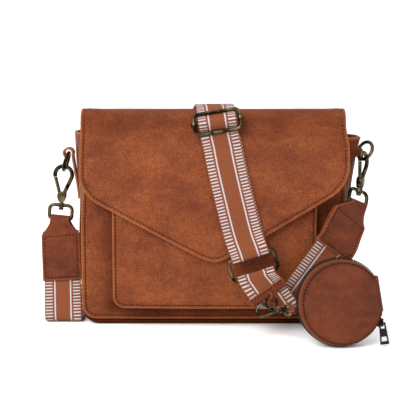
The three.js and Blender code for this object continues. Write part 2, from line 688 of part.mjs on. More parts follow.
// Short webbing rows: hidden end, roll over the lower bar, front arm, fold, rear arm, inside the strap end
const SHORT_COLUMNS = 7;
const upward = RING_HEADING.clone().negate();
const lowRoll = roll(lowerBar, RING_ACROSS, RING_OUT, upward, WRAP, 180, 0, 6);
const tuck = [
  { at: shortStrapAt(-10, 0).add(V(0, 2.4, 0)), across: armAcross.clone().setZ(-armAcross.z) },
  { at: shortStrapAt(-20, 0).add(V(0, 3.2, 0)), across: armAcross.clone().setZ(-armAcross.z) },
  besideBar(lowerBar, -WRAP, 5),
];
const leave = besideBar(lowerBar, WRAP, 5);
const overBar = strip(run([...tuck, ...lowRoll, leave], 1), STRAP.width / 2, SHORT_COLUMNS);
const armRows = [];
for (let s = -24; s <= rightArmEnd - 1; s += s < 52 ? 6 : 15) {
  armRows.push(Array.from({ length: SHORT_COLUMNS }, (_, c) => (
    shortStrapAt(s, STRAP.width * (c / (SHORT_COLUMNS - 1) - 0.5)))));
}
const inside = rightEnd.filter((_, i) => i >= 1 && i <= 6);
const insideRows = strip(inside, STRAP.width / 2, SHORT_COLUMNS);
piece("webbing_short", sheet([...overBar, ...armRows, ...insideRows], STRAP.thickness), WEBBING);

// Leather patch across the front arm
const armFront = (s, q, off) => {
  const normal = V(0, -1, -0.2).normalize();
  const across = s * Math.cos(FOLD.angle) + q * Math.sin(FOLD.angle);
  const down = s * Math.sin(FOLD.angle) - q * Math.cos(FOLD.angle);
  return FOLD_START.clone().add(V(across, -0.2 * down, -down)).addScaledVector(normal, off);
};
const PATCH_S = -16.5;
const patchOff = STRAP.thickness / 2 + GAP + PATCH.thickness / 2;
const PATCH_SPANS = { along: 2, across: 3 };
const patchGrid = Array.from({ length: PATCH_SPANS.along + 1 }, (_, r) => (
  Array.from({ length: PATCH_SPANS.across + 1 }, (__, c) => {
    const s = PATCH_S + (r / PATCH_SPANS.along - 0.5) * PATCH.height;
    return armFront(s, (c / PATCH_SPANS.across - 0.5) * PATCH.width, patchOff);
  })));
piece("strap_patch", sheet(patchGrid, PATCH.thickness), DARK_LEATHER);

// Small clasp of the pouch, its ring and the leather loop below the patch
const SMALL = CLASP.smallScale;
const smallAxis = V(-0.85, 0.46, -0.17).normalize();
const smallFace = squared(V(0.476, 0.684, -0.527), smallAxis);
const SMALL_SEAT = V(44.1, -80.1, 28);
const smallClasp = clasp("pouch_clasp", SMALL_SEAT, smallAxis, smallFace, SMALL_BASE, SMALL);
const smallUp = V(0, 0.45, 0.89).normalize();
const SMALL_RING_LOW = V(55.2, -86.3, 30.8);
const smallRing = ringAt("patch_ring", SMALL_RING_LOW, smallUp, V(0.8, 0.6, 0), SMALL_RING);

const loopWire = smallRing.centre.clone().addScaledVector(smallUp, SMALL_RING.radius);
const loopAxis = smallRing.along.clone();
if (loopAxis.x < 0) {
  loopAxis.negate();
}
const LOOP = { width: 6, thickness: 1.4, radius: 3.1 };
const loopOut = squared(V(0, -1, 0), loopAxis);
const loopUp = squared(V(0, 0, 1), loopAxis);
loopUp.addScaledVector(loopOut, -loopUp.dot(loopOut)).normalize();
const loopStations = [
  { at: armFront(PATCH_S + PATCH.height / 2 + 0.6, 1, 2.1), across: armAcross.clone().setZ(-armAcross.z) },
  { at: armFront(PATCH_S + PATCH.height / 2 + 2.4, 1, 2.9), across: armAcross.clone().setZ(-armAcross.z) },
  ...roll(loopWire, loopAxis, loopOut, loopUp, LOOP.radius, -140, 130, 9),
];
piece("patch_loop", sheet(strip(run(loopStations, 1), LOOP.width / 2), LOOP.thickness), DARK_LEATHER);

// Adjusting buckle
const SLIDER_AT = V(2.7, -42, 209.2);
const SLIDER_HEADING = V(0.155, -0.25, -0.955).normalize();
const SLIDER_ACROSS = squared(V(0.987, 0, 0.16), SLIDER_HEADING);
const SLIDER_OUT = SLIDER_HEADING.clone().cross(SLIDER_ACROSS);
const sliderBack = SLIDER_OUT.clone().negate();
const sliderUp = SLIDER_HEADING.clone().negate();
const sliderGroup = place(SLIDER_AT, SLIDER_ACROSS, sliderBack, sliderUp);
piece("slider_frame", wireLoop(SLIDER.width, SLIDER.height, SLIDER.corner, SLIDER.wire), BRASS, sliderGroup);
const railX = SLIDER.width / 2;
const sliderEyes = [-railX, railX].map((x) => post(V(x, 0, -2), V(x, 0, 2), SLIDER.eyeOuter, 12));
const sliderBores = [-railX, railX].map((x) => toSolid(post(V(x, 0, -4), V(x, 0, 4), SLIDER.eyeInner, 12)));
const centreBar = post(V(-railX, 0, 0), V(railX, 0, 0), SLIDER.bar, 10);
const sliderBar = sliderBores.reduce((solid, bore) => solid.subtract(bore), joined(centreBar, ...sliderEyes));
piece("slider_bar", toGeometry(sliderBar), BRASS, sliderGroup);

// Long webbing: left strap end, floor, up the back, over the top, through the buckle to the ring and back
const onSlider = (along, out) => {
  const at = SLIDER_AT.clone().addScaledVector(SLIDER_HEADING, along).addScaledVector(SLIDER_OUT, out);
  return { at, across: SLIDER_ACROSS };
};
const onFlap = (x, z, off, tilt) => {
  const beside = (reach) => V(x + reach, flapFace(x + reach, z + reach * tilt) - off, z + reach * tilt);
  const across = beside(16).sub(beside(-16)).normalize();
  return { at: beside(16).add(beside(-16)).multiplyScalar(0.5), across };
};
const UNDER = 2.2 * GAP + STRAP.thickness / 2;
const OVER = UNDER + STRAP.thickness + 0.4;
const BAR_PASS = SLIDER.wire + GAP + STRAP.thickness / 2;
const BAR_ROLL = SLIDER.bar + GAP + STRAP.thickness / 2;

const hang = [
  { at: V(-158.8, -22, 42.5), across: V(1, 0, 0) },
  { at: V(-157.8, -29, 20), across: V(1, 0, 0) },
  { at: V(-157.2, -33, 9), across: V(1, 0, 0) },
  { at: V(-157, -33.4, 4.2), across: V(1, 0, 0) },
  { at: V(-156.9, -30, 1.5), across: V(1, 0, 0) },
  { at: V(-156.6, -22, 1.3), across: V(1, 0, 0) },
  { at: V(-156, 5, 1.3), across: V(1, 0, 0) },
  { at: V(-155, 30, 2.4), across: V(1, 0, 0) },
  { at: V(-149, 51, 9.5), across: V(0.97, -0.1, -0.14) },
  { at: V(-132, 60, 25), across: V(0.86, 0, -0.48) },
  { at: V(-104, 55, 55), across: V(0.83, 0, -0.55) },
  { at: V(-68, 49, 110), across: V(0.83, 0, -0.52) },
  { at: V(-32, 45, 168), across: V(0.87, 0, -0.45) },
  { at: V(-13, 42, 204), across: V(0.94, 0, -0.3) },
  { at: V(-6, 36, 218.4), across: V(0.98, 0.03, -0.12) },
  { at: V(-2.4, 22, 223.2), across: V(1, 0.04, 0) },
  { at: V(-0.9, -4, 224), across: V(1, 0.03, 0.02) },
  { at: V(0.2, -24, 223.2), across: V(1, 0, 0.06) },
];
const throughSlider = [
  onSlider(-12, -BAR_PASS + 0.2),
  onSlider(-10.2, -BAR_PASS - 0.1),
  onSlider(-8, -2.1),
  onSlider(-3.5, 3.3),
  onSlider(0, BAR_ROLL + STRAP.thickness + 0.5),
  onSlider(3.5, 3.3),
  onSlider(8, -2.1),
  onSlider(10.2, -BAR_PASS - 0.1),
  onSlider(12.5, -BAR_PASS),
];
const downFront = [
  onFlap(7.2, 186, OVER, 0.17),
  onFlap(10.8, 168, OVER, 0.19),
  onFlap(19.2, 132.6, OVER, 0.24),
  onFlap(28.5, 97, OVER + 0.6, 0.29),
  besideBar(upperBar, WRAP, -5),
];
const ringRoll = roll(upperBar, RING_ACROSS, RING_OUT, RING_HEADING, WRAP, 0, 180, 6);
const upUnder = [
  besideBar(upperBar, -WRAP, -5),
  onFlap(30, 97, UNDER, 0.29),
  onFlap(20.8, 132.6, UNDER, 0.24),
  onFlap(12.3, 168, UNDER, 0.19),
  onFlap(8.6, 186, UNDER + 0.2, 0.17),
];
const barReturn = [
  onSlider(10.2, -BAR_PASS - STRAP.thickness - 0.4),
  ...roll(SLIDER_AT, SLIDER_ACROSS, sliderBack, sliderUp, BAR_ROLL, 10, 190, 6),
];
const startInside = leftEnd.filter((_, i) => i >= 1 && i <= 8).reverse();
const longFrames = [
  ...startInside.map((frame) => ({ at: frame.at, across: frame.across })),
  ...run(hang, 2),
];
const frontStations = [hang.at(-1), ...throughSlider, ...downFront, ...ringRoll, ...upUnder, ...barReturn];
const frontFrames = run(frontStations, 2);
const longGrid = strip([...longFrames, ...frontFrames.slice(1)], STRAP.width / 2, 2);
piece("webbing_long", sheet(longGrid, STRAP.thickness), WEBBING);

// Coin pouch, in its own leaning frame: front towards local -y
const POUCH_AT = V(119.2, -96, 41.3);
const tilt = new THREE.Euler(degToRad(-POUCH.lean), 0, degToRad(POUCH.turn), "ZXY");
const pouch = new THREE.Group();
pouch.position.copy(POUCH_AT);
pouch.rotation.copy(tilt);
bag.add(pouch);

const SHELL_PROFILE = [
  { r: 0, out: 9 },
  { r: 18, out: 8.6 },
  { r: 30, out: 7.6 },
  { r: 38, out: 6 },
  { r: 40.5, out: 5 },
  { r: POUCH.radius, out: POUCH.rimHalf },
];
const SHELL_INSIDE = [
  { r: 0, out: 7 },
  { r: 16, out: 6.6 },
  { r: 28, out: 5.6 },
  { r: 36, out: POUCH.rimHalf },
  { r: POUCH.radius - POUCH.wall, out: POUCH.rimHalf },
];
const SHELL_SPANS = 23;

// Reach of the rim at an angle: a round with one straight folded side.
function rimReach(degrees) {
  const folded = degrees > POUCH_FOLD.from - 1 && degrees < POUCH_FOLD.to + 1;
  return folded ? POUCH_FOLD.reach / Math.cos(degToRad(degrees - POUCH_FOLD.angle)) : POUCH.radius;
}

function shell(sign) {
  const profile = [...SHELL_INSIDE, ...SHELL_PROFILE.toReversed()].map((p) => new THREE.Vector2(p.r, p.out));
  const start = degToRad(90 - sign * POUCH_FOLD.from);
  const geometry = new THREE.LatheGeometry(profile, SHELL_SPANS, start);
  if (sign < 0) {
    geometry.rotateX(Math.PI);
  }
  const points = geometry.getAttribute("position");
  for (let i = 0; i < points.count; i += 1) {
    const [x, z] = [points.getX(i), points.getZ(i)];
    const reach = rimReach(THREE.MathUtils.radToDeg(Math.atan2(z, x))) / POUCH.radius;
    const stretch = lerp(1, reach, smoothstep(Math.hypot(x, z), 18, 36));
    points.setX(i, x * stretch);
    points.setZ(i, z * stretch);
  }
  return geometry;
}
piece("pouch_front", shell(-1), DARK_LEATHER, pouch);
piece("pouch_back", shell(1), DARK_LEATHER, pouch);

// Zip band on a circle about the pouch axis
const [right, depth, above] = [V(1, 0, 0), V(0, 1, 0), V(0, 0, 1)];
const zipRound = [ZIP_BAND.radius, ZIP_BAND.from, ZIP_BAND.to, ZIP_BAND.steps];
const zipFrames = roll(V(0, 0, 0), depth, right, above, ...zipRound);
piece("pouch_zip", sheet(strip(zipFrames, ZIP_BAND.width / 2), ZIP_BAND.thickness), ZIP, pouch);

// Leather hinge along the straight folded side
const foldOut = V(Math.cos(degToRad(POUCH_FOLD.angle)), 0, Math.sin(degToRad(POUCH_FOLD.angle)));
const foldAlong = V(-foldOut.z, 0, foldOut.x);
const foldAt = (degrees) => {
  const outside = POUCH_FOLD.reach + GAP + POUCH_FOLD.thickness / 2;
  const along = POUCH_FOLD.reach * Math.tan(degToRad(degrees - POUCH_FOLD.angle));
  const at = foldOut.clone().multiplyScalar(outside).addScaledVector(foldAlong, along);
  return { at, across: V(0, 1, 0) };
};
const foldGrid = strip([foldAt(POUCH_FOLD.from), foldAt(POUCH_FOLD.to)], POUCH_FOLD.width / 2);
piece("pouch_hinge", sheet(foldGrid, POUCH_FOLD.thickness), DARK_LEATHER, pouch);

// Zip slider with a small staple, and the hanging pull
const SLIDER_ANGLE = degToRad(-28);
const SLIDER_REACH = 43.2;
const radial = V(Math.cos(SLIDER_ANGLE), 0, Math.sin(SLIDER_ANGLE));
const zipGroup = new THREE.Group();
zipGroup.position.copy(radial).multiplyScalar(SLIDER_REACH);
pouch.add(zipGroup);
const staple = new THREE.TorusGeometry(2.5, 0.8, 8, 12).rotateY(Math.PI / 2).translate(1.2, -4.2, -0.5);
const sliderBody = new THREE.BoxGeometry(4, 6.4, 9).rotateY(-SLIDER_ANGLE);
piece("zip_slider", toGeometry(joined(sliderBody, staple)), PULL_METAL, zipGroup);

const pullTop = zipGroup.position.clone().add(V(1.2, -4.5, -0.5));
const pullGroup = new THREE.Group();
pullGroup.position.copy(pullTop);
pullGroup.rotation.y = degToRad(-PULL.tilt);
pouch.add(pullGroup);
const trapezoid = (top, low, halfTop, halfLow) => [
  { x: -halfTop, z: top },
  { x: halfTop, z: top },
  { x: halfLow, z: low },
  { x: -halfLow, z: low },
];
const pullOutline = trapezoid(1, -PULL.length, PULL.topWidth / 2, PULL.lowWidth / 2);
const pullBlank = toSolid(plate(pullOutline, PULL.thickness));
const pullWindows = [trapezoid(-0.6, -4.9, 1.7, 2), trapezoid(-12.6, -17, 2.6, 2.9)];
const pullSolid = pullWindows.reduce((solid, w) => solid.subtract(toSolid(plate(w, 4))), pullBlank);
piece("zip_pull", toGeometry(pullSolid), PULL_METAL, pullGroup);

// Leather tab from the pouch side round the small clasp base
const TAB_SMALL = { width: 7, thickness: 1.5 };
pouch.updateMatrixWorld(true);
const tabRoot = V(-42.9, 3, -6).applyMatrix4(pouch.matrixWorld);
const barRoll = CLASP.baseWire * SMALL + GAP + TAB_SMALL.thickness / 2 + 0.1;
const tabAcross = smallClasp.barDirection;
const tabSide = smallAxis.clone().cross(tabAcross);
const pastBar = (side) => ({
  at: smallClasp.bar.clone().addScaledVector(tabSide, side * barRoll).addScaledVector(smallAxis, -1.6),
  across: tabAcross,
});
const atRoot = (side) => ({
  at: tabRoot.clone().addScaledVector(tabSide, side * barRoll * 0.7),
  across: tabAcross,
});
const tabStations = [
  atRoot(1),
  pastBar(1),
  ...roll(smallClasp.bar, tabAcross, tabSide, smallAxis, barRoll, 0, 180, 6),
  pastBar(-1),
  atRoot(-1),
];
piece("pouch_tab", sheet(strip(run(tabStations, 2), TAB_SMALL.width / 2), TAB_SMALL.thickness), DARK_LEATHER);

export default bag;
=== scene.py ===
"""Leather flap crossbody bag: its leather, webbing, metal and stage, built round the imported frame."""

import math
from functools import partial

import bpy
import numpy as np
from bpy.props import FloatProperty, FloatVectorProperty, PointerProperty
from mathutils import Matrix, Vector, noise


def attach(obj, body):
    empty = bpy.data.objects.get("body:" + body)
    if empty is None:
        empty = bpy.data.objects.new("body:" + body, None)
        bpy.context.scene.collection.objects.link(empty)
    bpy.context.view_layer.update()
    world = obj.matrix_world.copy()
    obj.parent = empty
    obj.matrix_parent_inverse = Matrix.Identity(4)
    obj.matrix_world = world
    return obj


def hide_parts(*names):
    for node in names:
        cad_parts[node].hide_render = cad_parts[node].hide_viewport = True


bl_info = {
    "name": "Flap crossbody bag",
    "version": (1, 0, 0),
    "blender": (4, 5, 0),
    "location": "View3D > Sidebar > Bag",
    "description": "Builds the leather, webbing, metal and stage of a flap crossbody bag",
    "category": "Object",
}

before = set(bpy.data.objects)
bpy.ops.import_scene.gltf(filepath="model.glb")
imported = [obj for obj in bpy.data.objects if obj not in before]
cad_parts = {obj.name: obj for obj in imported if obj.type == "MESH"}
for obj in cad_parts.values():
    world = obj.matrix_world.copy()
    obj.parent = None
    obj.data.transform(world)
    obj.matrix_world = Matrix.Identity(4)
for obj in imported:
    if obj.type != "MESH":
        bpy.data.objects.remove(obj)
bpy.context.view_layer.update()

MM = 0.001
GAP = 0.3

# Sizes of the pieces in millimetres: those of the part's source, with a little more wire on the clasps
BODY = {"half": 134, "taper": 2, "depth": 76, "front_top": 192, "back_top": 212, "corner": 16}
PANEL = {"thick": 2, "bottom": 6, "back_bottom": 1, "corner": 14, "crown": 5, "back_crown": 3, "front_lean": 8,
         "back_lean": 6}
FLAP = {"thick": 2.6, "half": 134, "top_left": 133, "top_right": 130.5, "tip": 71, "slope_left": 0.53,
        "slope_right": 0.593, "tip_round": 8, "corner_from": 116, "corner": 18, "crown": 1.5}
POCKET = {"half": 103, "bottom": 21, "top": 152, "corner": 12, "depth_low": 13, "depth_high": 7,
          "wall": 1.8, "crown": 2}
STRAP = {"width": 38, "thick": 1.6, "end_width": 40, "end_leather": 2, "neck": 9.6, "flare": 16}
FOLD = {"radius": 9, "drop": 4, "angle": math.radians(55.5)}
SIDE_RING = {"radius": 9.5, "wire": 1.8}
SMALL_RING = {"radius": 6.7, "wire": 1}
TAB = {"width": 10, "thick": 2, "loop": 4.8}
CLASP = {"seat": 37, "wire": 1.9, "corner": 4, "top_corner": 5.4, "small": 0.72}
BASE = {"width": 23.6, "height": 15.2}
SMALL_BASE = {"width": 15, "height": 10}
HOOK = {"bow": 8.9, "bow_height": 32.2, "wire": 2.15, "lean": 21, "straight": 17.6, "turn": 221, "pivot_x": -2,
        "pivot_z": 10.5}
BLOCK = {"thick": 5.8, "soften": 0.7, "slot": 3.8}
PIN = {"half": 3.1, "radius": 0.8, "soften": 0.25}
SHANK = {"low": -3.4, "high": 5, "radius": 1.4, "soften": 0}
HEAD = {"low": -5, "high": -2.9, "radius": 2.6, "soften": 0.6}
COLLAR = {"low": -2.4, "high": 2.4, "radius": 3.4, "soften": 0.7}
COLLAR_BORE = {"low": -4, "high": 4, "radius": 1.9, "soften": 0}
GATE = {"wire": 1.8, "start": (-2.75, 12.4), "tip": (-8.17, 28.9), "eye": 2.3, "eye_half": 1.4, "bore": 1.3}
BUCKLE = {"width": 46.4, "height": 20.4, "corner": 6, "wire": 1.75, "bar": 1.6, "eye_in": 2.1, "eye_out": 3.2}
STRAP_RING = {"width": 46, "height": 20.4, "corner": 3.6, "wire": 1.75}
PATCH = {"width": 41, "height": 9, "thick": 1.8, "at": -16.5}
LOOP = {"width": 6, "thick": 1.4, "radius": 3.1}
POUCH = {"radius": 41, "rim": 4, "lean": -12, "turn": 5}
POUCH_FOLD = {"reach": 38.3, "angle": math.radians(7.8), "from": math.radians(-13), "to": math.radians(34.6)}
ZIP = {"radius": 40.1, "width": 7, "thick": 1.4, "from": 36, "to": 345}
TOOTH = {"radius": 41.6, "pitch": 2.3, "half": 1.25, "length": 0.21, "apart": 0.75, "low": -1.6, "high": 0.65,
         "narrow": 0.65, "lift": 0.8, "lift_at": math.radians(120)}
SLIDER = {"size": (4, 6.4, 9), "angle": math.radians(-28), "radius": 43.2, "staple": 2.5, "wire": 0.8}
PULL = {"length": 20, "top": 6, "low": 8.7, "thick": 1.8, "tilt": -6}
SMALL_TAB = {"width": 7, "thick": 1.5}


def at(x, y, z):
    return np.array((x, y, z), float)


def lerp(a, b, share):
    return a + (b - a) * share


def eased(value, low, high):
    share = np.clip((value - low) / (high - low), 0, 1)
    return share * share * (3 - 2 * share)


def bell(offset, width):
    """One at no offset, fading to both sides."""
    return np.exp(-(offset / width) ** 2)


def from_ends(values):
    """Distance of each of some rising values from the nearer end of their row."""
    return np.minimum(values - values[0], values[-1] - values)


def unit(vector):
    return vector / np.linalg.norm(vector)


def squared(direction, axis):
    """A direction made square to an axis."""
    return unit(direction - axis * (direction @ axis))


def linear(code):
    """An sRGB hex colour as linear red, green and blue."""
    shares = [int(code[i:i + 2], 16) / 255 for i in (0, 2, 4)]
    return tuple(c / 12.92 if c <= 0.04045 else ((c + 0.055) / 1.055) ** 2.4 for c in shares)


# Settings that a user may change
def length(title, text, default):
    return FloatProperty(name=title, description=text, default=default, min=0, unit="LENGTH")


def colour(title, text, code):
    return FloatVectorProperty(name=title, description=text, size=3, default=linear(code), min=0, max=1,
                               subtype="COLOR")


class BagSewing(bpy.types.PropertyGroup):
    """Sizes and colour of the visible sewing"""
    pitch: length("Stitch pitch", "Distance from one stitch to the next", 0.0035)
    stitch: length("Stitch length", "Length of one stitch on the leather", 0.0021)
    thread: length("Thread width", "Width of the sewing thread", 0.0010)
    inset: length("Seam inset", "Distance from a turned edge to its row of stitches", 0.0034)
    thread_colour: colour("Thread", "Colour of the sewing thread", "1E0E09")


class BagLeather(bpy.types.PropertyGroup):
    """Colours and grain of the two leathers"""
    tan: colour("Tan", "Main colour of the bag's leather", "7B3D1C")
    tan_dark: colour("Tan, dark", "Clouds in the bag's leather", "652C12")
    # Tan, light also pales the rubbed edges, where it is partly a painted highlight
    tan_light: colour("Tan, light", "Pulled and rubbed places on the bag's leather", "98582F")
    brown: colour("Brown", "Main colour of the strap ends and the pouch", "622A0F")
    brown_dark: colour("Brown, dark", "Clouds in the strap leather", "501F0A")
    # Brown, light also pales the rubbed edges, where it is partly a painted highlight
    brown_light: colour("Brown, light", "Rubbed places on the strap leather", "834424")
    grain: length("Grain", "Width of one pebble of the grain", 0.0015)


class BagWebbing(bpy.types.PropertyGroup):
    """Pattern of the woven strap"""
    bar_pitch: length("Bar pitch", "Distance from one white bar to the next", 0.0032)
    bar_width: length("Bar width", "Width of one white bar along the strap", 0.0013)
    bar_inner: length("Bar inner end", "Distance from the middle of the strap to the bars", 0.0108)
    bar_outer: length("Bar outer end", "Distance from the middle of the strap to the bars' outer ends", 0.0182)
    line_inner: length("Line inner side", "Distance from the middle of the strap to the white line", 0.0075)
    line_outer: length("Line outer side", "Distance from the middle of the strap past the white line", 0.0089)
    ground: colour("Ground", "Colour of the tan weave", "743E24")
    white: colour("White", "Colour of the white weave", "A3A1A4")


class BagMetal(bpy.types.PropertyGroup):
    """Colours of the metal pieces"""
    brass: colour("Worn brass", "Antique brass where it is rubbed", "6B5D43")
    patina: colour("Patina", "Antique brass where it is dark", "19120B")
    dark: colour("Dark metal", "Zip slider and pull", "2A2623")
    tape: colour("Zip tape", "Zip tape and teeth", "1C1817")


class BagStage(bpy.types.PropertyGroup):
    """Floor and studio light"""
    floor: colour("Floor", "Colour of the floor and backdrop", "FAFAFA")
    key: FloatProperty(name="Key light", description="Power of the large light at the left", default=33, min=0,
                       unit="POWER")
    fill: FloatProperty(name="Fill light", description="Power of the light at the right", default=2, min=0,
                        unit="POWER")
    sky: FloatProperty(name="Sky", description="Strength of the white light overhead", default=1.5, min=0)


# Small tools for meshes
def clear_selection():
    if bpy.context.object and bpy.context.object.mode != "OBJECT":
        bpy.ops.object.mode_set(mode="OBJECT")
    bpy.ops.object.select_all(action="DESELECT")


def activate(piece):
    clear_selection()
    piece.select_set(True)
    bpy.context.view_layer.objects.active = piece


def modify(piece, kind, **settings):
    """Adds a modifier with its settings, and applies it."""
    activate(piece)
    modifier = piece.modifiers.new(kind.lower(), kind)
    for key, value in settings.items():
        setattr(modifier, key, value)
    bpy.ops.object.modifier_apply(modifier=modifier.name)


def round_edges(piece, width, segments, degrees=60):
    """Rounds the edges that are sharper than an angle."""
    modify(piece, "BEVEL", width=width, segments=segments, limit_method="ANGLE", angle_limit=math.radians(degrees))


def smooth(piece, degrees):
    activate(piece)
    bpy.ops.object.shade_smooth_by_angle(angle=math.radians(degrees))


def added(name):
    """The object just added, named, with its placing applied to its mesh."""
    piece = bpy.context.object
    piece.name = name
    bpy.ops.object.transform_apply(location=True, rotation=True, scale=True)
    return piece


def mesh_piece(name, points, faces):
    """A piece from points in millimetres."""
    mesh = bpy.data.meshes.new(name)
    mesh.from_pydata((np.asarray(points, float) * MM).tolist(), [], [list(map(int, f)) for f in faces])
    piece = bpy.data.objects.new(name, mesh)
    bpy.context.scene.collection.objects.link(piece)
    return piece


def grid_faces(rows, columns, first=0):
    index = first + np.arange(rows * columns).reshape(rows, columns)
    return np.stack([index[:-1, :-1], index[:-1, 1:], index[1:, 1:], index[1:, :-1]], -1).reshape(-1, 4)


def mark(piece, **marks):
    """Keeps one number per point for the materials to read."""
    for key, values in marks.items():
        attribute = piece.data.attributes.new(key, "FLOAT", "POINT")
        attribute.data.foreach_set("value", np.ascontiguousarray(values, np.float32).ravel())


def grid_normals(grid, outward):
    """Unit normals of a grid of points, on the side that outward points to at its middle."""
    normals = np.cross(np.gradient(grid, axis=0), np.gradient(grid, axis=1))
    normals /= np.linalg.norm(normals, axis=2, keepdims=True) + 1e-12
    return normals if np.mean(normals @ outward) > 0 else -normals


def grid_piece(name, grid, **marks):
    """A skin from a grid of points in millimetres, with its marks."""
    rows, columns = grid.shape[:2]
    piece = mesh_piece(name, grid.reshape(-1, 3), grid_faces(rows, columns))
    mark(piece, **marks)
    return piece


def thicken(piece, thick, rim, offset=0):
    """Gives a skin its wall, in millimetres, with a rounded rim."""
    modify(piece, "SOLIDIFY", thickness=thick * MM, offset=offset, use_even_offset=False)
    round_edges(piece, rim * MM, 3)
    smooth(piece, 60)


def face_outwards(piece, merge=None):
    """Turns all faces of a mesh to its outside, after merging points that are closer than a distance."""
    activate(piece)
    bpy.ops.object.mode_set(mode="EDIT")
    bpy.ops.mesh.select_all(action="SELECT")
    if merge:
        bpy.ops.mesh.remove_doubles(threshold=merge)
        bpy.ops.mesh.select_all(action="SELECT")
    bpy.ops.mesh.normals_make_consistent(inside=False)
    bpy.ops.object.mode_set(mode="OBJECT")


def finish(piece, finish_name, slot, *nodes, body="bag"):
    """Dresses a piece, ties it to its body, and hides the nodes that it stands for."""
    piece.data.materials.clear()
    piece.data.materials.append(material(finish_name))
    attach(piece, body)
    if nodes:
        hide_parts(*nodes)
    return piece


# Curves
def spline_point(points, t):
    """Point on a smooth curve through points, t from 0 to 1."""
    last = len(points) - 1
    i = min(int(math.floor(last * t)), last - 1)
    share = last * t - i
    p1, p2 = points[i], points[i + 1]
    p0 = points[i - 1] if i > 0 else 2 * points[0] - points[1]
    p3 = points[i + 2] if i + 2 <= last else 2 * points[last] - points[last - 1]
    steps = [np.linalg.norm(b - a) ** 0.5 for a, b in ((p0, p1), (p1, p2), (p2, p3))]
    d1 = steps[1] if steps[1] > 1e-4 else 1
    d0 = steps[0] if steps[0] > 1e-4 else d1
    d2 = steps[2] if steps[2] > 1e-4 else d1
    t1 = ((p1 - p0) / d0 - (p2 - p0) / (d0 + d1) + (p2 - p1) / d1) * d1
    t2 = ((p2 - p1) / d1 - (p3 - p1) / (d1 + d2) + (p3 - p2) / d2) * d1
    c2 = -3 * p1 + 3 * p2 - 2 * t1 - t2
    c3 = 2 * p1 - 2 * p2 + t1 + t2
    return p1 + t1 * share + c2 * share ** 2 + c3 * share ** 3


def run(stations, per_span):
    """Frames along a smooth strip through stations (point, width direction): points, widths, normals."""
    path = [s[0] for s in stations]
    widths = [s[1] for s in stations]
    count = (len(stations) - 1) * per_span
    points, across, normals = [], [], []
    for i in range(count + 1):
        t = i / count
        heading = unit(spline_point(path, min(t + 1e-4, 1)) - spline_point(path, max(t - 1e-4, 0)))
        width = squared(spline_point(widths, t), heading)
        points.append(spline_point(path, t))
        across.append(width)
        normals.append(np.cross(heading, width))
    return np.array(points), np.array(across), np.array(normals)


def roll(centre, axis, first, second, radius, start, stop, steps):
    """Stations round part of a circle, angles in degrees."""
    stations = []
    for angle in np.radians(np.linspace(start, stop, steps + 1)):
        stations.append((centre + radius * (first * math.cos(angle) + second * math.sin(angle)), axis))
    return stations


def table_value(table, z):
    """Value at a height on a smooth curve through a table of (height, value) rows."""
    heights, values = np.array(table, float).T
    slopes = np.gradient(values, heights)
    z = np.clip(z, heights[0], heights[-1])
    i = np.clip(np.searchsorted(heights, z) - 1, 0, len(heights) - 2)
    span = heights[i + 1] - heights[i]
    t = (z - heights[i]) / span
    start = (1 + 2 * t) * (1 - t) ** 2 * values[i] + t * (1 - t) ** 2 * span * slopes[i]
    return start + t * t * (3 - 2 * t) * values[i + 1] + t * t * (t - 1) * span * slopes[i + 1]


def lengths_along(points):
    return np.concatenate([[0], np.cumsum(np.linalg.norm(np.diff(points, axis=0), axis=1))])


def resample(points, distances, values=None):
    """Points, or values kept with them, at given distances along a line of points."""
    run_at = lengths_along(points)
    values = points if values is None else values
    return np.stack([np.interp(distances, run_at, values[:, k]) for k in range(values.shape[1])], -1)


# Sewing: each stitch is a short thread that dips into the leather at both ends
# Its sections: place along it, share of its width and lift in widths
STITCH_SECTIONS = ((-0.5, 0.45, -0.35), (-0.3, 0.95, 0.15), (0, 1, 0.28), (0.3, 0.95, 0.15), (0.5, 0.45, -0.35))
STITCH_SIDES = 6
STITCH_LOOK = 0.4


def stitches(name, rows, slot="brown_leather"):
    """Rows of stitches along lines of points with normals, as one piece."""
    sewing = bpy.context.scene.bag_sewing
    pitch, stitch, thread = sewing.pitch / MM, sewing.stitch / MM, sewing.thread / MM
    points, faces = [], []
    for line, normals in rows:
        total = lengths_along(line)[-1]
        count = max(1, int(total / pitch))
        for k in range(count):
            middle = (k + 0.5) * total / count
            ends = resample(line, (middle + STITCH_LOOK * np.array((-1, 0, 1))).clip(0, total))
            ahead = unit(ends[2] - ends[0])
            up = squared(unit(resample(line, middle, normals)), ahead)
            side = np.cross(ahead, up)
            first = len(points)
            for along, size, lift in STITCH_SECTIONS:
                centre = ends[1] + ahead * along * stitch + up * lift * thread
                for s in range(STITCH_SIDES):
                    angle = 2 * math.pi * s / STITCH_SIDES
                    around = side * math.cos(angle) + up * math.sin(angle)
                    points.append(centre + around * size * thread / 2)
            for r in range(len(STITCH_SECTIONS) - 1):
                for s in range(STITCH_SIDES):
                    a = first + r * STITCH_SIDES + s
                    b = first + r * STITCH_SIDES + (s + 1) % STITCH_SIDES
                    faces.append((a, b, b + STITCH_SIDES, a + STITCH_SIDES))
            last = first + (len(STITCH_SECTIONS) - 1) * STITCH_SIDES
            faces.append([first + s for s in reversed(range(STITCH_SIDES))])
            faces.append([last + s for s in range(STITCH_SIDES)])
    piece = mesh_piece(name, points, faces)
    face_outwards(piece)
    smooth(piece, 80)
    return finish(piece, "waxed sewing thread", slot)


def on_surface(surface, flat, lift=0):
    """A line of (x, z) places on a surface that gives points, with its normals towards the front."""
    line = np.array([surface(x, z) for x, z in flat])
    step = 0.5
    normals = []
    for x, z in flat:
        ahead = np.subtract(surface(x + step, z), surface(x - step, z))
        up = np.subtract(surface(x, z + step), surface(x, z - step))
        normal = unit(np.cross(ahead, up))
        normals.append(normal if normal[1] < 0 else -normal)
    normals = np.array(normals)
    return line + normals * lift, normals


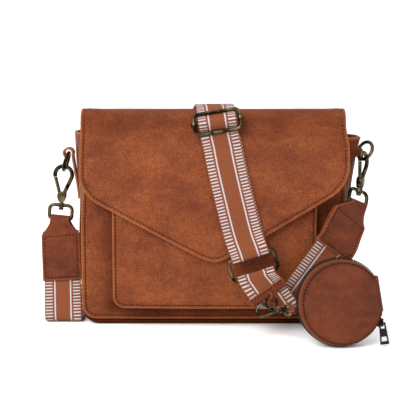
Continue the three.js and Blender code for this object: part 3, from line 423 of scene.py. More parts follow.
def even_line(flat, step=1.0):
    """The same flat line with points at even steps."""
    flat = np.array(flat, float)
    total = lengths_along(flat)[-1]
    return resample(flat, np.linspace(0, total, max(3, int(total / step))))


HEM = {"swell": 0.35, "groove": 0.4, "groove_width": 0.6, "wear_and_highlight_width": 0.9}


def hem(distance, inset):
    """Relief of a turned and sewn edge at a distance from the rim, with its seam mark and its rim mark, which pales
    the rim as wear and as a painted highlight.
    """
    roll_up = HEM["swell"] * np.sin(math.pi * np.clip(distance / inset, 0, 1)) ** 0.8
    dip = bell(distance - inset, HEM["groove_width"])
    return roll_up - HEM["groove"] * dip, bell(distance, HEM["wear_and_highlight_width"]), dip


def waves(points, size):
    """Slow noise at points in millimetres, with waves of a size."""
    values = [noise.fractal(Vector(p / size), 1.0, 2.0, 3) for p in points.reshape(-1, 3)]
    return np.array(values).reshape(points.shape[:-1])


def unevenness(points, size, amount):
    """Slow unevenness of hand-cut leather, from 0 down to minus amount."""
    return amount * (np.clip(waves(points, size) * 0.6, -1, 1) - 1) / 2


# Materials
MATERIALS = {}


def plug(tree, node, sockets):
    """Sets a node's inputs to values, or links them to sockets or to the first outputs of nodes."""
    for socket, value in sockets.items():
        if isinstance(value, bpy.types.Node):
            value = value.outputs[0]
        if isinstance(value, bpy.types.NodeSocket):
            tree.links.new(value, node.inputs[socket])
        else:
            node.inputs[socket].default_value = value


def add_node(tree, kind, sockets=None, **settings):
    """Adds a shader node with its settings, values and links."""
    node = tree.nodes.new("ShaderNode" + kind)
    for key, value in settings.items():
        setattr(node, key, value)
    plug(tree, node, sockets or {})
    return node


def material(name):
    """The finished material of that name, made once."""
    if name not in MATERIALS:
        made = bpy.data.materials.new(name)
        made.use_nodes = True
        shader = next(n for n in made.node_tree.nodes if n.type == "BSDF_PRINCIPLED")
        FINISHES[name](made.node_tree, shader)
        MATERIALS[name] = made
    return MATERIALS[name]


def rgba(value, share=1):
    """A linear colour, made darker or paler by a share."""
    return (*(min(1, share * c) for c in value[:3]), 1)


# Sizes of the patterns, in metres
CLOUD = 0.045
STREAK = (0.026, 0.026, 0.010)
MOTTLE = 0.006
GRAIN_DEPTH = 0.0003
THREAD_TWIST = 0.0005
LINE_WANDER = 0.00015
WEAVE_SOFT = 0.0003
WEAVE_FUZZ = 0.0015
WEAVE_RIB = 0.0009
WEAVE_DEPTH = 0.0003
RUBBED_PATCH = 0.009
CASTING_PIT = 0.0006
PLATED_PATCH = 0.004
TAPE_RIB = 0.0008
FINE_DEPTH = 0.0002


def leather(tree, shader, main, dark, light, grain, gloss, shine, flecks):
    """Full-grain pull-up leather: waxed, so it is cloudy and paler where it is pulled. Its rubbed edges are paler,
    partly as a painted highlight, and marked places are darkened and dulled as painted shade."""
    place = add_node(tree, "TexCoord").outputs["Object"]
    # Wide clouds, and soft streaks that lie level
    cloud = add_node(tree, "TexNoise", {"Vector": place, "Scale": 1 / CLOUD, "Detail": 3, "Roughness": 0.5})
    flat = add_node(tree, "Mapping", {"Vector": place, "Scale": [1 / size for size in STREAK]})
    streak = add_node(tree, "TexNoise", {"Vector": flat, "Scale": 1, "Detail": 3, "Roughness": 0.6})
    clouds = add_node(tree, "MapRange", {"Value": cloud, "From Min": 0.36, "From Max": 0.62})
    streaks = add_node(tree, "MapRange", {"Value": streak, "From Min": 0.42, "From Max": 0.75, "To Max": 0.28})
    shade = add_node(tree, "MixRGB", {"Fac": clouds, "Color1": rgba(dark), "Color2": rgba(main)})
    shade = add_node(tree, "MixRGB", {"Fac": streaks, "Color1": shade, "Color2": rgba(light)})
    # Mottles where the wax is drawn up unevenly
    mottle = add_node(tree, "TexNoise", {"Vector": place, "Scale": 1 / MOTTLE, "Detail": 2, "Roughness": 0.5})
    mottles = add_node(tree, "MapRange", {"Value": mottle, "From Min": 0.3, "From Max": 0.7, "To Min": 0.87,
                                          "To Max": 1.13})
    shade = add_node(tree, "MixRGB", {"Fac": 1, "Color1": shade, "Color2": mottles}, blend_type="MULTIPLY")
    # Fine uneven grain with dark flecks: wax left in the creases between its pebbles, and partly painted shade in
    # the creases
    fleck = add_node(tree, "TexNoise", {"Vector": place, "Scale": 1 / grain, "Detail": 3, "Roughness": 0.65})
    crease_wax_and_shade = add_node(tree, "MapRange", {"Value": fleck, "From Min": 0.36, "From Max": 0.6, "To Min": flecks,
                                          "To Max": 0})
    deep = rgba(dark, 0.3)
    shade = add_node(tree, "MixRGB", {"Fac": crease_wax_and_shade, "Color1": shade, "Color2": deep})
    # Marks on the points: painted shade darkens, rubbed edges pale as wear and as a painted highlight, and seams
    # darken
    for name, share, tone in (("burnish", 0.95, deep), ("worn", 0.75, rgba(light)), ("seam", 0.5, deep)):
        amount = add_node(tree, "Attribute", attribute_name=name).outputs["Fac"]
        amount = add_node(tree, "Math", {0: amount, 1: share}, operation="MULTIPLY")
        shade = add_node(tree, "MixRGB", {"Fac": amount, "Color1": shade, "Color2": tone})
    pebble = add_node(tree, "TexVoronoi", {"Vector": place, "Scale": 1 / grain, "Randomness": 1},
                      feature="DISTANCE_TO_EDGE")
    pebbles = add_node(tree, "MapRange", {"Value": pebble, "From Max": 0.3})
    soft = add_node(tree, "TexNoise", {"Vector": place, "Scale": 1 / (5 * grain), "Detail": 3})
    height = add_node(tree, "Math", {0: soft, 1: 2.2, 2: pebbles}, operation="MULTIPLY_ADD")
    bump = add_node(tree, "Bump", {"Height": height, "Strength": 1, "Distance": GRAIN_DEPTH})
    rough = add_node(tree, "MapRange", {"Value": cloud, "From Min": 0.3, "From Max": 0.7, "To Min": gloss - 0.05,
                                        "To Max": gloss + 0.08})
    # Places of painted shade lose their gleam as well as being darker
    dull = add_node(tree, "Attribute", attribute_name="burnish").outputs["Fac"]
    gleam = add_node(tree, "MapRange", {"Value": dull, "To Min": shine, "To Max": 0})
    plug(tree, shader, {"Base Color": shade, "Normal": bump, "Roughness": rough, "Specular IOR Level": gleam})


def tan_leather(tree, shader):
    """The bag's leather: warm and open-grained, with a dull wax gleam."""
    look = bpy.context.scene.bag_leather
    leather(tree, shader, look.tan, look.tan_dark, look.tan_light, look.grain, 0.44, 0.12, 0.52)


def brown_leather(tree, shader):
    """The strap ends' and the pouch's leather: darker, finer in grain and a little glossier."""
    look = bpy.context.scene.bag_leather
    leather(tree, shader, look.brown, look.brown_dark, look.brown_light, look.grain * 0.8, 0.42, 0.15, 0.3)


def thread(tree, shader):
    """Waxed polyester thread: dark, round and a little shiny, with a fine twist."""
    place = add_node(tree, "TexCoord").outputs["Object"]
    twist = add_node(tree, "TexNoise", {"Vector": place, "Scale": 1 / THREAD_TWIST, "Detail": 1})
    dark = bpy.context.scene.bag_sewing.thread_colour
    shade = add_node(tree, "MixRGB", {"Fac": twist, "Color1": rgba(dark), "Color2": rgba(dark, 1.7)})
    plug(tree, shader, {"Base Color": shade, "Roughness": 0.75, "Specular IOR Level": 0.08})


def webbing(tree, shader):
    """Woven polyester strap: tan ground, white bars on both borders and a white line inside each."""
    look = bpy.context.scene.bag_webbing
    across = add_node(tree, "Attribute", attribute_name="across").outputs["Fac"]
    along = add_node(tree, "Attribute", attribute_name="along").outputs["Fac"]
    place = add_node(tree, "TexCoord").outputs["Object"]
    off = add_node(tree, "Math", {0: across}, operation="ABSOLUTE")
    # The line wanders a little to each side over each bar pitch
    turn = add_node(tree, "Math", {0: along, 1: 2 * math.pi / look.bar_pitch}, operation="MULTIPLY")
    wave = add_node(tree, "Math", {0: turn}, operation="SINE")
    line_off = add_node(tree, "Math", {0: wave, 1: LINE_WANDER, 2: off}, operation="MULTIPLY_ADD")
    bands = []
    for reach, inner, outer in ((line_off, look.line_inner, look.line_outer), (off, look.bar_inner, look.bar_outer)):
        past = [add_node(tree, "MapRange", {"Value": reach, "From Min": edge - WEAVE_SOFT,
                                            "From Max": edge + WEAVE_SOFT}) for edge in (inner, outer)]
        bands.append(add_node(tree, "Math", dict(enumerate(past)), operation="SUBTRACT"))
    line, border = bands
    level = math.cos(math.pi * look.bar_width / look.bar_pitch)
    crest = add_node(tree, "Math", {0: turn}, operation="COSINE")
    bars = add_node(tree, "MapRange", {"Value": crest, "From Min": level - 0.3, "From Max": level + 0.3})
    bar = add_node(tree, "Math", {0: bars, 1: border}, operation="MULTIPLY")
    white = add_node(tree, "Math", {0: bar, 1: line}, operation="MAXIMUM")
    fuzz = add_node(tree, "TexNoise", {"Vector": place, "Scale": 1 / WEAVE_FUZZ, "Detail": 2})
    ground = add_node(tree, "MixRGB", {"Fac": fuzz, "Color1": rgba(look.ground, 0.72), "Color2": rgba(look.ground)})
    shade = add_node(tree, "MixRGB", {"Fac": white, "Color1": ground, "Color2": rgba(look.white)})
    # Ribs across the strap, drawn a little coarser than the real weft so that they show
    rib_turn = add_node(tree, "Math", {0: along, 1: 2 * math.pi / WEAVE_RIB}, operation="MULTIPLY")
    rib = add_node(tree, "Math", {0: rib_turn}, operation="SINE")
    height = add_node(tree, "Math", {0: rib, 1: 0.2, 2: white}, operation="MULTIPLY_ADD")
    bump = add_node(tree, "Bump", {"Height": height, "Strength": 0.5, "Distance": WEAVE_DEPTH})
    plug(tree, shader, {"Base Color": shade, "Normal": bump, "Roughness": 0.85, "Specular IOR Level": 0.15})


def antique_brass(tree, shader):
    """Cast brass with a brown patina that handling has rubbed through in patches, and fine pits."""
    look = bpy.context.scene.bag_metal
    place = add_node(tree, "TexCoord").outputs["Object"]
    patch = add_node(tree, "TexNoise", {"Vector": place, "Scale": 1 / RUBBED_PATCH, "Detail": 2, "Roughness": 0.5})
    rubbed = add_node(tree, "MapRange", {"Value": patch, "From Min": 0.4, "From Max": 0.72})
    shade = add_node(tree, "MixRGB", {"Fac": rubbed, "Color1": rgba(look.patina), "Color2": rgba(look.brass)})
    rough = add_node(tree, "MapRange", {"Value": rubbed, "To Min": 0.34, "To Max": 0.24})
    pit = add_node(tree, "TexNoise", {"Vector": place, "Scale": 1 / CASTING_PIT, "Detail": 2})
    bump = add_node(tree, "Bump", {"Height": pit, "Strength": 0.15, "Distance": FINE_DEPTH})
    plug(tree, shader, {"Base Color": shade, "Normal": bump, "Roughness": rough, "Metallic": 1})


def dark_metal(tree, shader):
    """Zinc casting with a dark plated finish, a little worn."""
    dark = bpy.context.scene.bag_metal.dark
    place = add_node(tree, "TexCoord").outputs["Object"]
    patch = add_node(tree, "TexNoise", {"Vector": place, "Scale": 1 / PLATED_PATCH, "Detail": 4})
    rubbed = add_node(tree, "MapRange", {"Value": patch, "From Min": 0.45, "From Max": 0.75})
    shade = add_node(tree, "MixRGB", {"Fac": rubbed, "Color1": rgba(dark), "Color2": rgba(dark, 2.2)})
    plug(tree, shader, {"Base Color": shade, "Roughness": 0.38, "Metallic": 1})


def zip_tape(tree, shader):
    """Black polyester zip tape, closely woven, with fine ribs."""
    tape = bpy.context.scene.bag_metal.tape
    place = add_node(tree, "TexCoord").outputs["Object"]
    weave = add_node(tree, "TexNoise", {"Vector": place, "Scale": 1 / TAPE_RIB, "Detail": 2})
    shade = add_node(tree, "MixRGB", {"Fac": weave, "Color1": rgba(tape), "Color2": rgba(tape, 2.5)})
    bump = add_node(tree, "Bump", {"Height": weave, "Strength": 0.4, "Distance": FINE_DEPTH})
    plug(tree, shader, {"Base Color": shade, "Normal": bump, "Roughness": 0.7})


def pale_floor(tree, shader):
    """Matt white studio paper with the faintest tone."""
    floor = bpy.context.scene.bag_stage.floor
    place = add_node(tree, "TexCoord").outputs["Object"]
    tone = add_node(tree, "TexNoise", {"Vector": place, "Scale": 3, "Detail": 2})
    shade = add_node(tree, "MixRGB", {"Fac": tone, "Color1": rgba(floor, 0.985), "Color2": rgba(floor)})
    plug(tree, shader, {"Base Color": shade, "Roughness": 0.9, "Specular IOR Level": 0.1})


TAN, BROWN = "pull-up leather, tan", "pull-up leather, brown"
WEBBING, BRASS, DARK_METAL = "woven polyester webbing", "antique brass casting", "dark plated casting"
FINISHES = {
    TAN: tan_leather,
    BROWN: brown_leather,
    "waxed sewing thread": thread,
    WEBBING: webbing,
    BRASS: antique_brass,
    DARK_METAL: dark_metal,
    "black zip tape": zip_tape,
    "white studio paper": pale_floor,
}


# Body walls
def half_at(z):
    return BODY["half"] - BODY["taper"] * z / BODY["front_top"]


# How much wider the bag's left side stands, by height
LEFT_LEAN = ((0, 2.2), (60, 2.5), (105, 2.5), (126, 1.7), (146, 0.4), (160, 0))
LEAN_FROM, LEAN_FULL = 104, 132


def leaned(points):
    """Draws the bag's left edge outwards, as it stands in use."""
    points = np.array(points, float)
    points[..., 0] -= table_value(LEFT_LEAN, points[..., 2]) * eased(-points[..., 0], LEAN_FROM, LEAN_FULL)
    return points


def front_mid(z):
    return -BODY["depth"] / 2 + PANEL["thick"] / 2 + PANEL["front_lean"] * z / BODY["front_top"]


def back_mid(z):
    return BODY["depth"] / 2 - PANEL["thick"] / 2 - PANEL["back_lean"] * z / BODY["front_top"]


def swell(x, z):
    return (1 - (x / BODY["half"]) ** 2) * np.sin(math.pi * np.clip(z / BODY["front_top"], 0, 1))


def panel_mid(x, z):
    return front_mid(z) - PANEL["crown"] * swell(x, z)


def panel_face(x, z):
    return (x, panel_mid(x, z) - PANEL["thick"] / 2, z)


def back_panel_mid(x, z):
    return back_mid(z) + PANEL["back_crown"] * swell(x, z)


def back_face(x, z):
    return (x, back_panel_mid(x, z) + PANEL["thick"] / 2, z)


# Distances from an edge at which a panel has points
EDGE_STEPS = np.array((0, 0.8, 1.5, 2.1, 2.6, 3, 3.4, 3.8, 4.3, 5, 6.2, 8, 10, 12.5))


def edge_columns(half, count):
    """Places across a piece from edge to edge, close together near both edges."""
    inner = half - EDGE_STEPS[-1]
    middle = np.linspace(-inner, inner, count)
    return np.concatenate([-half + EDGE_STEPS[:-1], middle, half - EDGE_STEPS[:-1][::-1]])


def rounded_half(half, bottom, radius, z):
    rise = min(max(z - bottom, 0), radius)
    return half - radius + math.sqrt(radius ** 2 - (radius - rise) ** 2)


def edge_distance(x, z, half, bottom, top, radius):
    """Distance from a place to the outline of a panel with rounded lower corners."""
    beside, below = abs(x) - (half - radius), bottom + radius - z
    if beside > 0 and below > 0:
        return max(0, radius - math.hypot(beside, below))
    return max(0, min(half - abs(x), z - bottom, top - z))


def panel_grid(bottom, top, depth_at):
    """Middle points of a panel and their distance to its sewn edges; its top edge isn't sewn."""
    radius = PANEL["corner"]
    heights = np.concatenate([bottom + EDGE_STEPS, np.linspace(bottom + radius, top, 48)])
    rows, distances = [], []
    for z in heights:
        half = rounded_half(half_at(z), bottom, radius, z)
        xs = edge_columns(half, 52)
        rows.append([(x, depth_at(x, z), z) for x in xs])
        distances.append([edge_distance(x, z, half_at(z), bottom, 2 * top, radius) for x in xs])
    return np.array(rows), np.array(distances)


def u_line(half_fn, bottom, top, radius, inset):
    """Flat line down the left side, round the lower corners and up the right side, inset from the outline."""
    low = bottom + inset
    bend = max(radius - inset, 0.6)
    half = half_fn(low + bend) - inset
    arc = np.radians(np.linspace(0, 90, 10))
    left = [(-(half_fn(z) - inset), z) for z in np.linspace(top, low + bend, 30)]
    corner = [(-(half - bend) - bend * math.cos(a), low + bend - bend * math.sin(a)) for a in arc[1:]]
    half_line = left + corner
    return half_line + [(-x, z) for x, z in reversed(half_line)]


# Painted shade round and below the pocket: its strength below and beside it, the height where below ends, and its
# reach
POCKET_SHADE = {"below": 0.82, "beside": 0.5, "from": POCKET["bottom"] + 6, "reach": 12}


def pocket_painted_shade(grid):
    """Painted shade on the front panel round and below the pocket, darkest below it, where the pocket stands out
    over the panel.
    """
    x, z = grid[..., 0], grid[..., 2]
    away = np.hypot(np.maximum(np.abs(x) - POCKET["half"], 0), np.maximum(POCKET["bottom"] - z, 0))
    amount = np.where(z < POCKET_SHADE["from"], POCKET_SHADE["below"], POCKET_SHADE["beside"])
    return amount * bell(away, POCKET_SHADE["reach"])


# Unevenness of a panel: size of its waves, and the distances from the edge over which it begins
WAVE = {"size": 38, "from": 5, "full": 18}


def sewn_panel(name, grid, distances, outward, thick, inset, relief=0.5, **marks):
    """A panel with a turned and sewn edge and slow unevenness."""
    bumps, worn, seam = hem(distances, inset)
    bumps = bumps + unevenness(grid, WAVE["size"], relief) * eased(distances, WAVE["from"], WAVE["full"])
    raised = grid + grid_normals(grid, outward) * bumps[..., None]
    piece = grid_piece(name, raised, worn=worn, seam=seam, **marks)
    thicken(piece, thick, 0.7)
    return piece


# Outward swell of the gusset by height, up to the top of each side
LEFT_SWELL = ((14, 0), (30, 1.2), (60, 3.5), (90, 5), (127, 6.8), (150, 10.2), (164, 11.6), (180, 12.2),
              (197, 12.9))
RIGHT_SWELL = ((14, 0), (30, 1.2), (60, 3.5), (90, 5.4), (120, 7.4), (150, 9.2), (177, 11), (184, 14),
               (192, 18.5))


def side_swell(side, z):
    return float(table_value(LEFT_SWELL if side < 0 else RIGHT_SWELL, z))


# Soft forms near the front of each side, as swell by height: the left one bulges past the panel's edge
LEFT_FOLD = {"by_height": ((12, 0), (30, 1.4), (70, 1.6), (105, 1.4), (130, 0)), "at": -0.75, "width": 0.3}
RIGHT_FOLD = {"by_height": ((120, 0), (131, 0.3), (146, 1.4), (163, 4.4), (177, 7), (192, 5.5)), "at": -0.62,
              "width": 0.22}
# Lip of the base at the front: place in the depth and share of its turn inwards
GUSSET_LIP = ((-1, 1), (-0.985, 0.16), (-0.88, 0))
GUSSET = {"front_gap": 2.6 * GAP, "back_gap": 3 * GAP, "base_front": 0.6, "lip": 3.6}


def gusset_side(side, top):
    """Path down one side of the gusset and along the base to its middle, with outward directions."""
    mid = PANEL["thick"] / 2
    radius = BODY["corner"] - mid
    centre = half_at(BODY["corner"]) - BODY["corner"]
    path = [(half_at(z) - mid, z, 1, 0) for z in np.linspace(top, 20, 48)]
    for angle in np.radians(np.linspace(0, 90, 13)):
        c, s = math.cos(angle), math.sin(angle)
        path.append((centre + radius * c, BODY["corner"] - radius * s, c, -s))
    path += [(x, mid, 0, -1) for x in np.linspace(centre, 0, 24)[1:]]
    return [(side * x, z, side * nx, nz) for x, z, nx, nz in path]


# Most painted shade on the gusset's base, left front and right side, and the ranges over which each comes and goes
BASE_SHADE = {"most": 0.95, "z": (4, 30)}
LEFT_SHADE = {"most": 0.7, "x": (130, 135), "y": (-28, -10), "z": (105, 150)}
RIGHT_SHADE = {"most": 0.5, "x": (124, 132), "z": (60, 110)}


def gusset_shade(grid):
    """Painted shade on the gusset's base, on its left front where the hanging strap end shades it,
    and on its right side, turned away from the key light.
    """
    x, y, z = np.moveaxis(grid, -1, 0)
    base = BASE_SHADE["most"] * (1 - eased(z, *BASE_SHADE["z"]))
    left = LEFT_SHADE["most"] * eased(-x, *LEFT_SHADE["x"]) * (1 - eased(y, *LEFT_SHADE["y"]))
    left = left * (1 - eased(z, *LEFT_SHADE["z"]))
    right = RIGHT_SHADE["most"] * eased(x, *RIGHT_SHADE["x"]) * eased(z, *RIGHT_SHADE["z"])
    return np.maximum(base, np.maximum(left, right))


def gusset_grid():
    mid = PANEL["thick"] / 2
    path = gusset_side(1, RIGHT_SWELL[-1][0]) + gusset_side(-1, LEFT_SWELL[-1][0])[-2::-1]
    depths = np.concatenate([(-1, -0.985, -0.94, -0.88), np.linspace(-0.8, 0.8, 25), (0.9, 1)])
    lips = GUSSET["lip"] * np.interp(depths, *np.array(GUSSET_LIP, float).T)
    rows = []
    for x, z, nx, nz in path:
        down = max(0, -nz)
        front = lerp(front_mid(z) + mid + GUSSET["front_gap"], -BODY["depth"] / 2 + GUSSET["base_front"], down)
        back = back_mid(z) - mid - GUSSET["back_gap"]
        fold = LEFT_FOLD if nx < 0 else RIGHT_FOLD
        folded = table_value(fold["by_height"], z) * bell(depths - fold["at"], fold["width"])
        out = abs(nx) * (side_swell(nx, z) * (1 - depths ** 2) + folded) - lips * down ** 2
        rows.append(np.stack([x + nx * out, lerp(front, back, (depths + 1) / 2), z + nz * out], -1))
    return np.array(rows)


# Front pocket: rim rows from the panel outwards, with share of the depth, lift past the face and inset
POCKET_RIM = (
    {"inset": 0, "share": 0, "lift": 0},
    {"inset": 0, "share": 0.35, "lift": 0},
    {"inset": 0, "share": 0.7, "lift": 0},
    {"inset": 0, "share": 1, "lift": -1.5},
    {"inset": 0.2, "share": 1, "lift": -0.7},
    {"inset": 0.7, "share": 1, "lift": -0.15},
    {"inset": 1.3, "share": 1, "lift": 0.1},
    {"inset": 2, "share": 1, "lift": 0.15},
    {"inset": 2.6, "share": 1, "lift": -0.1},
    {"inset": 3, "share": 1, "lift": -0.35},
    {"inset": 3.4, "share": 1, "lift": -0.5},
    {"inset": 3.8, "share": 1, "lift": -0.35},
    {"inset": 4.6, "share": 1, "lift": -0.1},
    {"inset": 6.5, "share": 1, "lift": 0},
    {"inset": 10.8, "share": 1, "lift": 0},
)
POCKET_SEAM = 3.4
# Inset of the pocket rim's paler band: wear, and partly a painted highlight
POCKET_WEAR_AND_HIGHLIGHT = 0.6
POCKET_WAVE = {"size": 34, "amount": 0.7, "rows": 6}


def pocket_depth(x, z):
    rise = (z - POCKET["bottom"]) / (POCKET["top"] - POCKET["bottom"])
    return lerp(POCKET["depth_low"], POCKET["depth_high"], rise) + POCKET["crown"] * (1 - (x / POCKET["half"]) ** 2)


def pocket_point(x, z, share=1.0, lift=0.0):
    depth = share * (pocket_depth(x, z) + lift)
    return (x, panel_mid(x, z) - PANEL["thick"] / 2 - GAP - depth, z)


def pocket_u(inset):
    """Flat line round the pocket at an inset, as its left side, its bottom and its right side."""
    low, half = POCKET["bottom"] + inset, POCKET["half"] - inset
    bend = max(POCKET["corner"] - inset, 0.8)
    arc = np.radians(np.linspace(0, 90, 11))
    corner = np.array([(-(half - bend) - bend * math.cos(a), low + bend - bend * math.sin(a)) for a in arc])
    side = np.array([(-half, z) for z in np.linspace(POCKET["top"], low + bend, 34)])
    left = np.concatenate([side, corner[1:6]])
    flat = np.stack([np.linspace(-(half - bend), half - bend, 56), np.full(56, low)], -1)
    mirrored = corner[5:] * (-1, 1)
    bottom = np.concatenate([corner[5:], flat[1:-1], mirrored[::-1]])
    return left, bottom, left * (-1, 1)


def pocket_line(inset):
    left, bottom, right = pocket_u(inset)
    return np.concatenate([left, bottom[1:-1], right[::-1]])


def pocket_skin(name):
    """Outer skin of the pocket: rim rings round a crowned face."""
    rings, worn, seam = [], [], []
    for rim in POCKET_RIM:
        line = pocket_line(rim["inset"])
        rings.append([pocket_point(x, z, rim["share"], rim["lift"]) for x, z in line])
        on_face = rim["share"] == 1
        worn += [on_face * bell(rim["inset"] - POCKET_WEAR_AND_HIGHLIGHT, POCKET_WEAR_AND_HIGHLIGHT)] * len(line)
        seam += [on_face * bell(rim["inset"] - POCKET_SEAM, 0.5)] * len(line)
    rings = np.array(rings)
    left, bottom, right = pocket_u(POCKET_RIM[-1]["inset"])
    u = ((bottom[:, 0] - bottom[0, 0]) / (bottom[-1, 0] - bottom[0, 0]))[:, None]
    v = lengths_along(left) / lengths_along(left)[-1]
    top, low = lerp(left[0], right[0], u), lerp(left[-1], right[-1], u)
    face = []
    for i, share in enumerate(v):
        flat = lerp(left[i], right[i], u) + lerp(top, bottom, share) - lerp(top, low, share)
        face.append([pocket_point(x, z) for x, z in flat])
    face = np.array(face)
    inside = np.minimum(np.arange(len(v))[::-1][:, None], from_ends(np.arange(len(u))))
    drop = unevenness(face, POCKET_WAVE["size"], POCKET_WAVE["amount"])
    face[..., 1] -= drop * np.clip(inside / POCKET_WAVE["rows"], 0, 1)
    points = np.concatenate([rings.reshape(-1, 3), face.reshape(-1, 3)])
    faces = np.concatenate([grid_faces(*rings.shape[:2]), grid_faces(*face.shape[:2], first=rings.size // 3)])
    piece = mesh_piece(name, points, faces)
    plain = [0] * (face.size // 3)
    mark(piece, worn=worn + plain, seam=seam + plain)
    face_outwards(piece, merge=1e-6)
    if sum(p.normal.y * p.area for p in piece.data.polygons) > 0:
        piece.data.flip_normals()
    return piece


# Flap: profile from the back seam over the top, then the front by height
FLAP_BACK = ((35.6, 184), (34.8, 205.4), (32, 213.4), (24.5, 217.2), (12, 218), (-12, 218.8), (-23, 219),
             (-30, 214.5), (-33.5, 206))
FLAP_TOP = FLAP_BACK[-1][1]
FLAP_ROWS = 64
# Painted shade towards the flap's top edge: its most, and the heights over which it comes in
FLAP_SHADE = {"most": 0.3, "from": 180, "full": 214}
FLAP_FRONT = ((60, -56.2), (72, -55.2), (105, -51.6), (148, -45.9), (192, -36.4), (FLAP_TOP, -33.5))
# Length of the hem's ends, where its points lie close together, and spread of the rows along the sloping hem
HEM_ENDS = 22
HEM_SPREAD = 1.13


def hem_at(x):
    run_out = np.hypot(x, FLAP["tip_round"]) - FLAP["tip_round"]
    past = np.maximum(0, np.abs(x) - FLAP["corner_from"])
    corner = FLAP["corner"] - np.sqrt(np.maximum(0, FLAP["corner"] ** 2 - past ** 2))
    return FLAP["tip"] + np.where(x < 0, FLAP["slope_left"], FLAP["slope_right"]) * run_out + corner


def flap_half(x, drop):
    """Half width of the flap on the side of x, at a share of the drop from its top edge to its hem."""
    return lerp(np.where(x < 0, FLAP["top_left"], FLAP["top_right"]), FLAP["half"], eased(drop, 0, 0.6))


def flap_mid(x, z):
    crown = FLAP["crown"] * (1 - (x / FLAP["half"]) ** 2) * eased(210 - z, 0, 40)
    return table_value(FLAP_FRONT, z) - crown


def flap_face(x, z):
    return (x, flap_mid(x, z) - FLAP["thick"] / 2, z)


def flap_outline(xs, top, step):
    """Flat line down the flap's left edge, along its hem and up its right edge."""
    half = FLAP["half"]
    return even_line([(-half, top), *zip(xs, hem_at(xs)), (half, top)], step)


def flap_grid():
    """Middle points of the flap and their distance to its free edges."""
    back = [at(0, y, z) for y, z in FLAP_BACK]
    half, hem_from = FLAP["half"], FLAP["half"] - HEM_ENDS
    columns = edge_columns(half, 52) / half
    rows, distances = [], []
    for k in range(FLAP_ROWS + 1):
        _, y, z = spline_point(back, k / FLAP_ROWS)
        rows.append([(u * flap_half(u, 0), y, z) for u in columns])
        distances.append(np.minimum((1 - np.abs(columns)) * half, k * 1.2))
    edge_x = np.concatenate([np.linspace(-half, -hem_from, 60), np.linspace(1 - hem_from, hem_from - 1, 120),
                             np.linspace(hem_from, half, 60)])
    outline = flap_outline(edge_x, FLAP_TOP + 4, 0.7)
    upper = np.linspace(0, 1, 40)[1:]
    steps = EDGE_STEPS[::-1] * HEM_SPREAD
    for row in range(len(upper) + len(steps) - 1):
        points, away = [], []
        for u in columns:
            low = hem_at(u * half)
            if row < len(upper):
                z = lerp(FLAP_TOP, low + steps[0], upper[row])
            else:
                z = low + steps[row - len(upper) + 1]
            x = u * flap_half(u, (FLAP_TOP - z) / (FLAP_TOP - low))
            points.append((x, flap_mid(x, z), z))
            away.append(np.hypot(*(outline - (u * half, z)).T).min())
        rows.append(points)
        distances.append(away)
    return np.array(rows), np.array(distances)


# Places of the rings and clasps
LEFT_SEAT = at(-157, -4, 156.3)
LEFT_UP = unit(at(5.8, 0, 18.3))
RIGHT_SEAT = at(154.3, -13, 171)
RIGHT_UP = unit(at(9, 20, 42))
RIGHT_SLACK = 2.4
LEFT_AXIS = unit(at(3.8, 2, 37.9))
RIGHT_TURN = squared(at(0.85, 0.45, -0.4), RIGHT_UP)
SMALL_AXIS = unit(at(-0.85, 0.46, -0.17))
SMALL_SEAT = at(44.1, -80.1, 28)
SMALL_UP = unit(at(0, 0.45, 0.89))
SMALL_RING_LOW = at(55.2, -86.3, 30.8)


def ring_frame(seat, up, wire_direction, size):
    along = squared(wire_direction, up)
    return {"centre": seat + up * size["radius"], "along": along, "up": up}


LEFT_RING = ring_frame(LEFT_SEAT, LEFT_UP, at(0, 1, 0), SIDE_RING)
RIGHT_RING = ring_frame(RIGHT_SEAT - RIGHT_UP * RIGHT_SLACK, RIGHT_UP, at(0.55, -0.835, 0), SIDE_RING)
PATCH_RING = ring_frame(SMALL_RING_LOW, SMALL_UP, at(0.8, 0.6, 0), SMALL_RING)


def clasp_frame(seat, z, face, base=BASE, scale=1.0, bar_direction=None):
    """Places of a clasp's hook and base; z runs to the hook, and the base may turn to its own bar direction."""
    origin = seat - z * CLASP["seat"] * scale
    y = squared(face, z)
    x = np.cross(y, z)
    turn = x if bar_direction is None else bar_direction
    return {"upper": (origin, x, y, z, scale), "lower": (origin, turn, np.cross(z, turn), z, scale), "z": z,
            "turn": turn, "base": base, "bar": origin - z * base["height"] * scale}


LEFT_CLASP = clasp_frame(LEFT_SEAT, LEFT_AXIS, at(0, 1, 0))
RIGHT_CLASP = clasp_frame(RIGHT_SEAT, RIGHT_UP, at(-0.8, 0.6, 0), bar_direction=RIGHT_TURN)
SMALL_CLASP = clasp_frame(SMALL_SEAT, SMALL_AXIS, at(0.476, 0.684, -0.527), SMALL_BASE, CLASP["small"])


def strip_grid(points, across, halves, columns):
    """Rows of points across a strip, with their distance from its side edges."""
    places = np.linspace(-1, 1, columns)
    halves = np.broadcast_to(halves, (len(points),))
    grid = points[:, None] + across[:, None] * (halves[:, None, None] * places[None, :, None])
    return grid, halves[:, None] * (1 - np.abs(places))[None, :]


def leather_strip(name, points, across, halves, thick, columns=9, rim=0.55):
    """A leather strip with rounded, rubbed edges, paler partly as wear and partly as a painted highlight."""
    grid, distance = strip_grid(points, across, halves, columns)
    distance = np.minimum(distance, from_ends(lengths_along(points))[:, None])
    piece = grid_piece(name, grid, worn=bell(distance, HEM["wear_and_highlight_width"]), seam=np.zeros_like(distance))
    thicken(piece, thick, rim)
    return piece


# Radius of each tab's loop, and the angles that it turns from and to
TAB_LOOP = {-1: (TAB["loop"], -25, 258), 1: (TAB["loop"] - 0.45, -25, 205)}
# Low part of a tab: height, depth and distance from the gusset
TAB_LOW = ((126, 0, 0), (137, -0.5, 0), (148, -1.5, 0.2))


